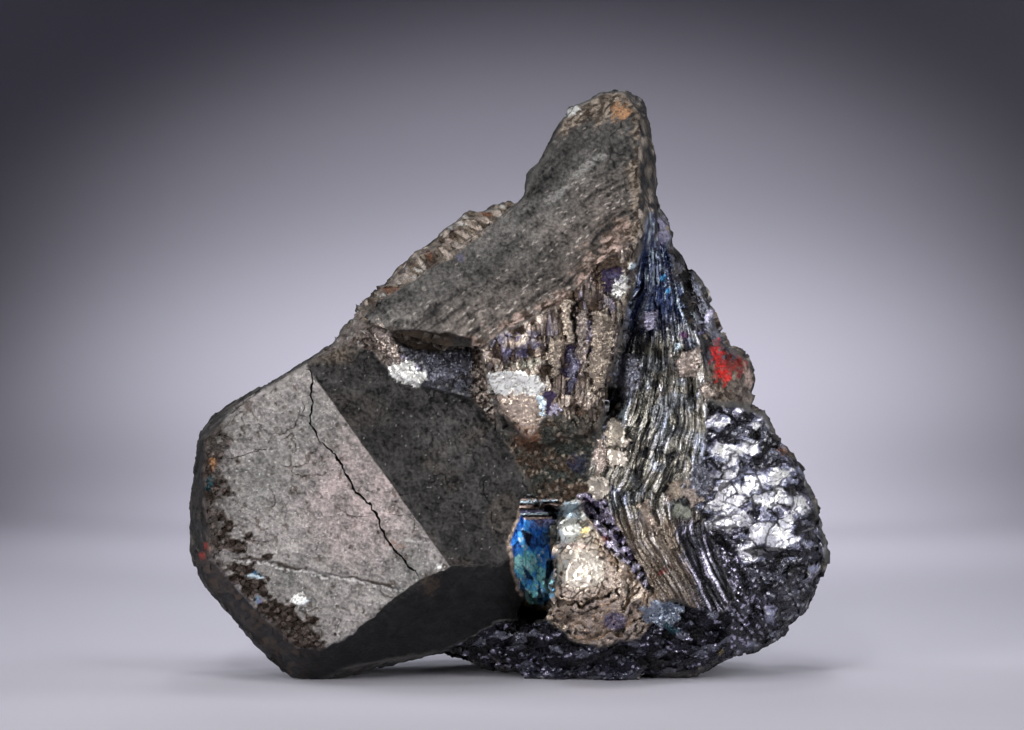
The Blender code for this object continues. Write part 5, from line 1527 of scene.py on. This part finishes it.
def make_body(metal, crack):
    """The whole closed mass with its relief, lowered under the fine skins."""
    body = base_body()
    tree = surface_tree(body.data)
    skins, covered = front_skins(tree, metal, crack)
    places, normals, _ = mesh_arrays(body.data)
    look, seen, rays, visible, share = body_look(places, normals, tree)
    cell = np.round((seen - GRID_BOX[0]) / GRID).astype(int)
    in_grid = np.all((cell >= 0) & (cell < (covered.shape[1], covered.shape[0])), axis=1)
    column, row = np.clip(cell, 0, (covered.shape[1] - 1, covered.shape[0] - 1)).T
    under_skin = visible & in_grid & covered[row, column]
    outward = np.where(share[:, None] > 0.5, -rays, normals)
    height = np.where(under_skin, BODY_UNDER_SKIN, np.clip(look.height, *BODY_RELIEF))
    set_places(body.data, places + outward * height[:, None])
    modified(body, "TRIANGULATE")
    ratio = BODY_TRIANGLES / len(body.data.polygons)
    if ratio < 1:
        modified(body, "DECIMATE", ratio=ratio)
    body.data.materials.clear()
    body.data.materials.append(metal)
    places, normals, _ = mesh_arrays(body.data)
    store_look(body.data, body_look(places, normals, tree)[0])
    return [body] + skins


# Materials

class Nodes:
    """Short way to add and join the nodes of one material."""

    def __init__(self, name):
        self.material = bpy.data.materials.new(name)
        self.material.use_nodes = True
        self.tree = self.material.node_tree
        self.shader = self.tree.nodes["Principled BSDF"]

    def add(self, kind, inputs=(), **settings):
        """New node with its settings, and a value or a link for each input named."""
        node = self.tree.nodes.new("ShaderNode" + kind)
        for name, value in settings.items():
            setattr(node, name, value)
        for socket, value in dict(inputs).items():
            self.join(value, node.inputs[socket])
        return node

    def join(self, value, socket):
        """Links another node's output to the socket, or sets a plain value."""
        if isinstance(value, bpy.types.NodeSocket):
            self.tree.links.new(value, socket)
        else:
            socket.default_value = value

    def sum(self, operation, first, second=0.0, third=0.0):
        """Output of one step of arithmetic on numbers."""
        node = self.add("Math", {0: first, 1: second, 2: third}, operation=operation)
        return node.outputs[0]

    def grey(self, value):
        """The same number in all three channels."""
        return self.add("CombineXYZ", {0: value, 1: value, 2: value}).outputs[0]

    def vector(self, operation, first, second=(0, 0, 0)):
        """Output of one step of arithmetic on vectors."""
        return self.add("VectorMath", {0: first, 1: second}, operation=operation).outputs[0]


def bismuth_material():
    """Tarnished metal: grain, pits and glitter over the tones stored on the mesh."""
    nodes = Nodes("bismuth_tarnished")
    place = nodes.vector("MULTIPLY", nodes.add("TexCoord").outputs["Object"], (1 / MM,) * 3)
    tint = nodes.add("Attribute", attribute_name="tint")
    finish = nodes.add("Attribute", attribute_name="finish")
    parts = nodes.add("SeparateColor", {"Color": finish.outputs["Color"]})
    roughness, grain, sparkle = parts.outputs
    cloud = nodes.add("TexNoise", {"Vector": place, "Scale": 1.9, "Detail": 6.0, "Roughness": 0.72})
    fleck = nodes.add("TexVoronoi", {"Vector": place, "Scale": 5.5})
    dust = nodes.add("TexVoronoi", {"Vector": place, "Scale": 11.0})
    pick = nodes.add("SeparateColor", {"Color": fleck.outputs["Color"]}).outputs[0]
    dust_pick = nodes.add("SeparateColor", {"Color": dust.outputs["Color"]}).outputs[1]
    uneven = nodes.sum("SUBTRACT", cloud.outputs[0], 0.5)
    speck = nodes.sum("SUBTRACT", pick, 0.5)
    dusty = nodes.sum("SUBTRACT", dust_pick, 0.5)
    amount = nodes.sum("MULTIPLY_ADD", speck, 0.55, nodes.sum("MULTIPLY", uneven, 1.7))
    amount = nodes.sum("MULTIPLY_ADD", dusty, 0.45, amount)
    light = nodes.sum("MULTIPLY_ADD", nodes.sum("MULTIPLY", amount, grain), 1.0, 1.0)
    light = nodes.sum("MAXIMUM", light, 0.12)
    colour = nodes.vector("MULTIPLY", tint.outputs["Color"], nodes.grey(light))
    nodes.join(colour, nodes.shader.inputs["Base Color"])
    glint = nodes.sum("GREATER_THAN", dust_pick, 0.86)
    polish = nodes.sum("MULTIPLY", nodes.sum("MULTIPLY", glint, sparkle), -0.22)
    rough = nodes.sum("ADD", nodes.sum("MULTIPLY_ADD", uneven, 0.35, roughness), polish)
    nodes.join(nodes.sum("MAXIMUM", rough, 0.10), nodes.shader.inputs["Roughness"])
    nodes.join(finish.outputs["Alpha"], nodes.shader.inputs["Metallic"])
    relief = nodes.sum("MULTIPLY_ADD", fleck.outputs["Distance"], 0.5, cloud.outputs[0])
    relief = nodes.sum("MULTIPLY_ADD", dust_pick, 0.25, relief)
    depth = nodes.sum("MULTIPLY_ADD", grain, 1.3, 0.10)
    bump = nodes.add("Bump", {"Height": relief, "Strength": depth, "Distance": 0.11 * MM})
    slant = nodes.vector("SUBTRACT", dust.outputs["Color"], (0.5, 0.5, 0.5))
    reach = nodes.sum("MULTIPLY", sparkle, 0.95)
    slant = nodes.vector("MULTIPLY", slant, nodes.grey(reach))
    normal = nodes.vector("NORMALIZE", nodes.vector("ADD", bump.outputs[0], slant))
    nodes.join(normal, nodes.shader.inputs["Normal"])
    nodes.shader.inputs["Specular IOR Level"].default_value = 0.2
    return nodes.material


def crack_shade_material():
    """Painted shade: near-black granular walls of the fissures."""
    nodes = Nodes("bismuth_fissure_shade")
    place = nodes.vector("MULTIPLY", nodes.add("TexCoord").outputs["Object"], (1 / MM,) * 3)
    cloud = nodes.add("TexNoise", {"Vector": place, "Scale": 4.0, "Detail": 4.0})
    scale = nodes.add("MapRange", {0: cloud.outputs[0], 1: 0.3, 2: 0.7, 3: 0.006, 4: 0.03})
    nodes.join(nodes.grey(scale.outputs[0]), nodes.shader.inputs["Base Color"])
    nodes.shader.inputs["Roughness"].default_value = 0.9
    nodes.shader.inputs["Specular IOR Level"].default_value = 0.1
    return nodes.material


def studio_material():
    """Matt pale lavender-grey paper."""
    nodes = Nodes("studio_paper")
    place = nodes.add("TexCoord").outputs["Object"]
    fibre = nodes.add("TexNoise", {"Vector": place, "Scale": 900.0, "Detail": 3.0})
    shade = nodes.add("MapRange", {0: fibre.outputs[0], 3: 0.985, 4: 1.0})
    colour = nodes.vector("MULTIPLY", (0.60, 0.59, 0.67), nodes.grey(shade.outputs[0]))
    nodes.join(colour, nodes.shader.inputs["Base Color"])
    nodes.shader.inputs["Roughness"].default_value = 0.9
    nodes.shader.inputs["Specular IOR Level"].default_value = 0.1
    return nodes.material


# Studio

def make_studio():
    """Round pale floor that curves up into a wall on every side."""
    sides, bend_steps = 96, 24
    profile = [(radius, 0.0) for radius in (0.0, 120.0, 260.0, FLOOR_RADIUS)]
    for step in range(1, bend_steps + 1):
        angle = math.radians(90 * step / bend_steps)
        profile.append((FLOOR_RADIUS + WALL_BEND * math.sin(angle),
                        WALL_BEND - WALL_BEND * math.cos(angle)))
    profile.append((FLOOR_RADIUS + WALL_BEND, WALL_TOP))
    points = [(0.0, 0.0, -FLOOR_DROP)]
    for radius, height in profile[1:]:
        for k in range(sides):
            angle = 2 * math.pi * k / sides
            points.append((radius * math.cos(angle), radius * math.sin(angle), height - FLOOR_DROP))
    faces = [(0, 1 + k, 1 + (k + 1) % sides) for k in range(sides)]
    for ring in range(len(profile) - 2):
        low = 1 + ring * sides
        for k in range(sides):
            follow = (k + 1) % sides
            faces.append((low + k, low + sides + k, low + sides + follow, low + follow))
    mesh = bpy.data.meshes.new("studio_floor")
    mesh.from_pydata((np.array(points) * MM).tolist(), [], faces)
    mesh.polygons.foreach_set("use_smooth", [True] * len(mesh.polygons))
    mesh.materials.append(studio_material())
    linked("studio_floor", mesh)


def lamp(name, kind, place, away, power, colour, **settings):
    """Light of a kind at a place in millimetres, shining against the direction away."""
    light = bpy.data.lights.new(name, kind)
    light.energy = power
    light.color = colour
    for setting, value in settings.items():
        setattr(light, setting, value)
    piece = linked(name, light)
    piece.location = place * MM
    piece.rotation_mode = "QUATERNION"
    piece.rotation_quaternion = away.to_track_quat("Z", "Y")
    piece.visible_camera = False


def softbox(name, azimuth, elevation, distance, size, power, colour):
    """Narrow-beamed area light aimed at the specimen; azimuth 0 is the camera's side."""
    turn, rise = math.radians(azimuth), math.radians(elevation)
    away = Vector((math.sin(turn) * math.cos(rise), -math.cos(turn) * math.cos(rise), math.sin(rise)))
    lamp(name, "AREA", Vector((0, 0, LIGHT_AIM)) + away * distance, away, power, colour, shape="RECTANGLE",
         size=size[0] * MM, size_y=size[1] * MM, spread=BEAM_SPREAD)


def spot(name, place, aim, angle, power, colour):
    """Round soft-edged lamp from a place toward an aim, in millimetres."""
    lamp(name, "SPOT", Vector(place), Vector(place) - Vector(aim), power, colour,
         spot_size=math.radians(angle), spot_blend=1.0, shadow_soft_size=SPOT_RADIUS * MM)


def make_lights():
    """Low soft light from both front sides, weak top and side lights, and pools on the backdrop."""
    white = (1.0, 0.99, 0.97)
    cool = (0.95, 0.97, 1.0)
    paper = (0.97, 0.96, 1.0)
    softbox("front_left", -38, 8, 260, (110, 120), 0.070, white)
    softbox("front_right", 52, 2, 260, (100, 110), 0.050, white)
    softbox("top_front", -14, 62, 330, (160, 120), 0.034, white)
    softbox("side_right", 95, 25, 300, (120, 160), 0.045, cool)
    softbox("side_left", -110, 30, 320, (120, 160), 0.036, cool)
    softbox("back", 180, 35, 380, (240, 180), 0.04, cool)
    softbox("glint_left", -15, 35, 300, (20, 20), 0.012, white)
    softbox("glint_right", 30, 25, 300, (20, 20), 0.012, white)
    spot("backdrop_low", (5, 250, 420), (8, 440, 0), 47, 4.8, paper)
    spot("backdrop_high", (5, 200, 420), (8, 530, 50), 42, 4.9, paper)
    for number, (depth, power) in enumerate(((290, 3.9), (205, 2.1), (120, 1.7))):
        spot(f"floor_{number}", (10, depth, 420), (10, depth, 0), 46, power, paper)
    world = bpy.data.worlds.new("studio_air")
    world.use_nodes = True
    world.node_tree.nodes["Background"].inputs[0].default_value = (0.80, 0.80, 0.90, 1)
    world.node_tree.nodes["Background"].inputs[1].default_value = 0.05
    bpy.context.scene.world = world


def make_camera():
    """Level camera straight in front."""
    data = bpy.data.cameras.new("camera")
    data.lens = LENS
    data.sensor_width = SENSOR
    data.clip_start, data.clip_end = 0.01, 10.0
    camera = linked("camera", data)
    camera.location = (EYE - LAYOUT_SHIFT) * MM
    camera.rotation_euler = (math.pi / 2, 0, 0)
    bpy.context.scene.camera = camera


def make_specimen():
    """All pieces of the mass, in metres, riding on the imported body."""
    for piece in make_body(bismuth_material(), crack_shade_material()):
        places, _, _ = mesh_arrays(piece.data)
        set_places(piece.data, (in_box(places) - LAYOUT_SHIFT) * MM)
        piece.data.polygons.foreach_set("use_smooth", [True] * len(piece.data.polygons))
        piece.data.set_sharp_from_angle(angle=SHARP_EDGE)
        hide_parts(NODE)
        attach(piece, "root")


make_studio()
make_lights()
make_camera()
make_specimen()
bpy.context.scene.view_settings.view_transform = "Standard"
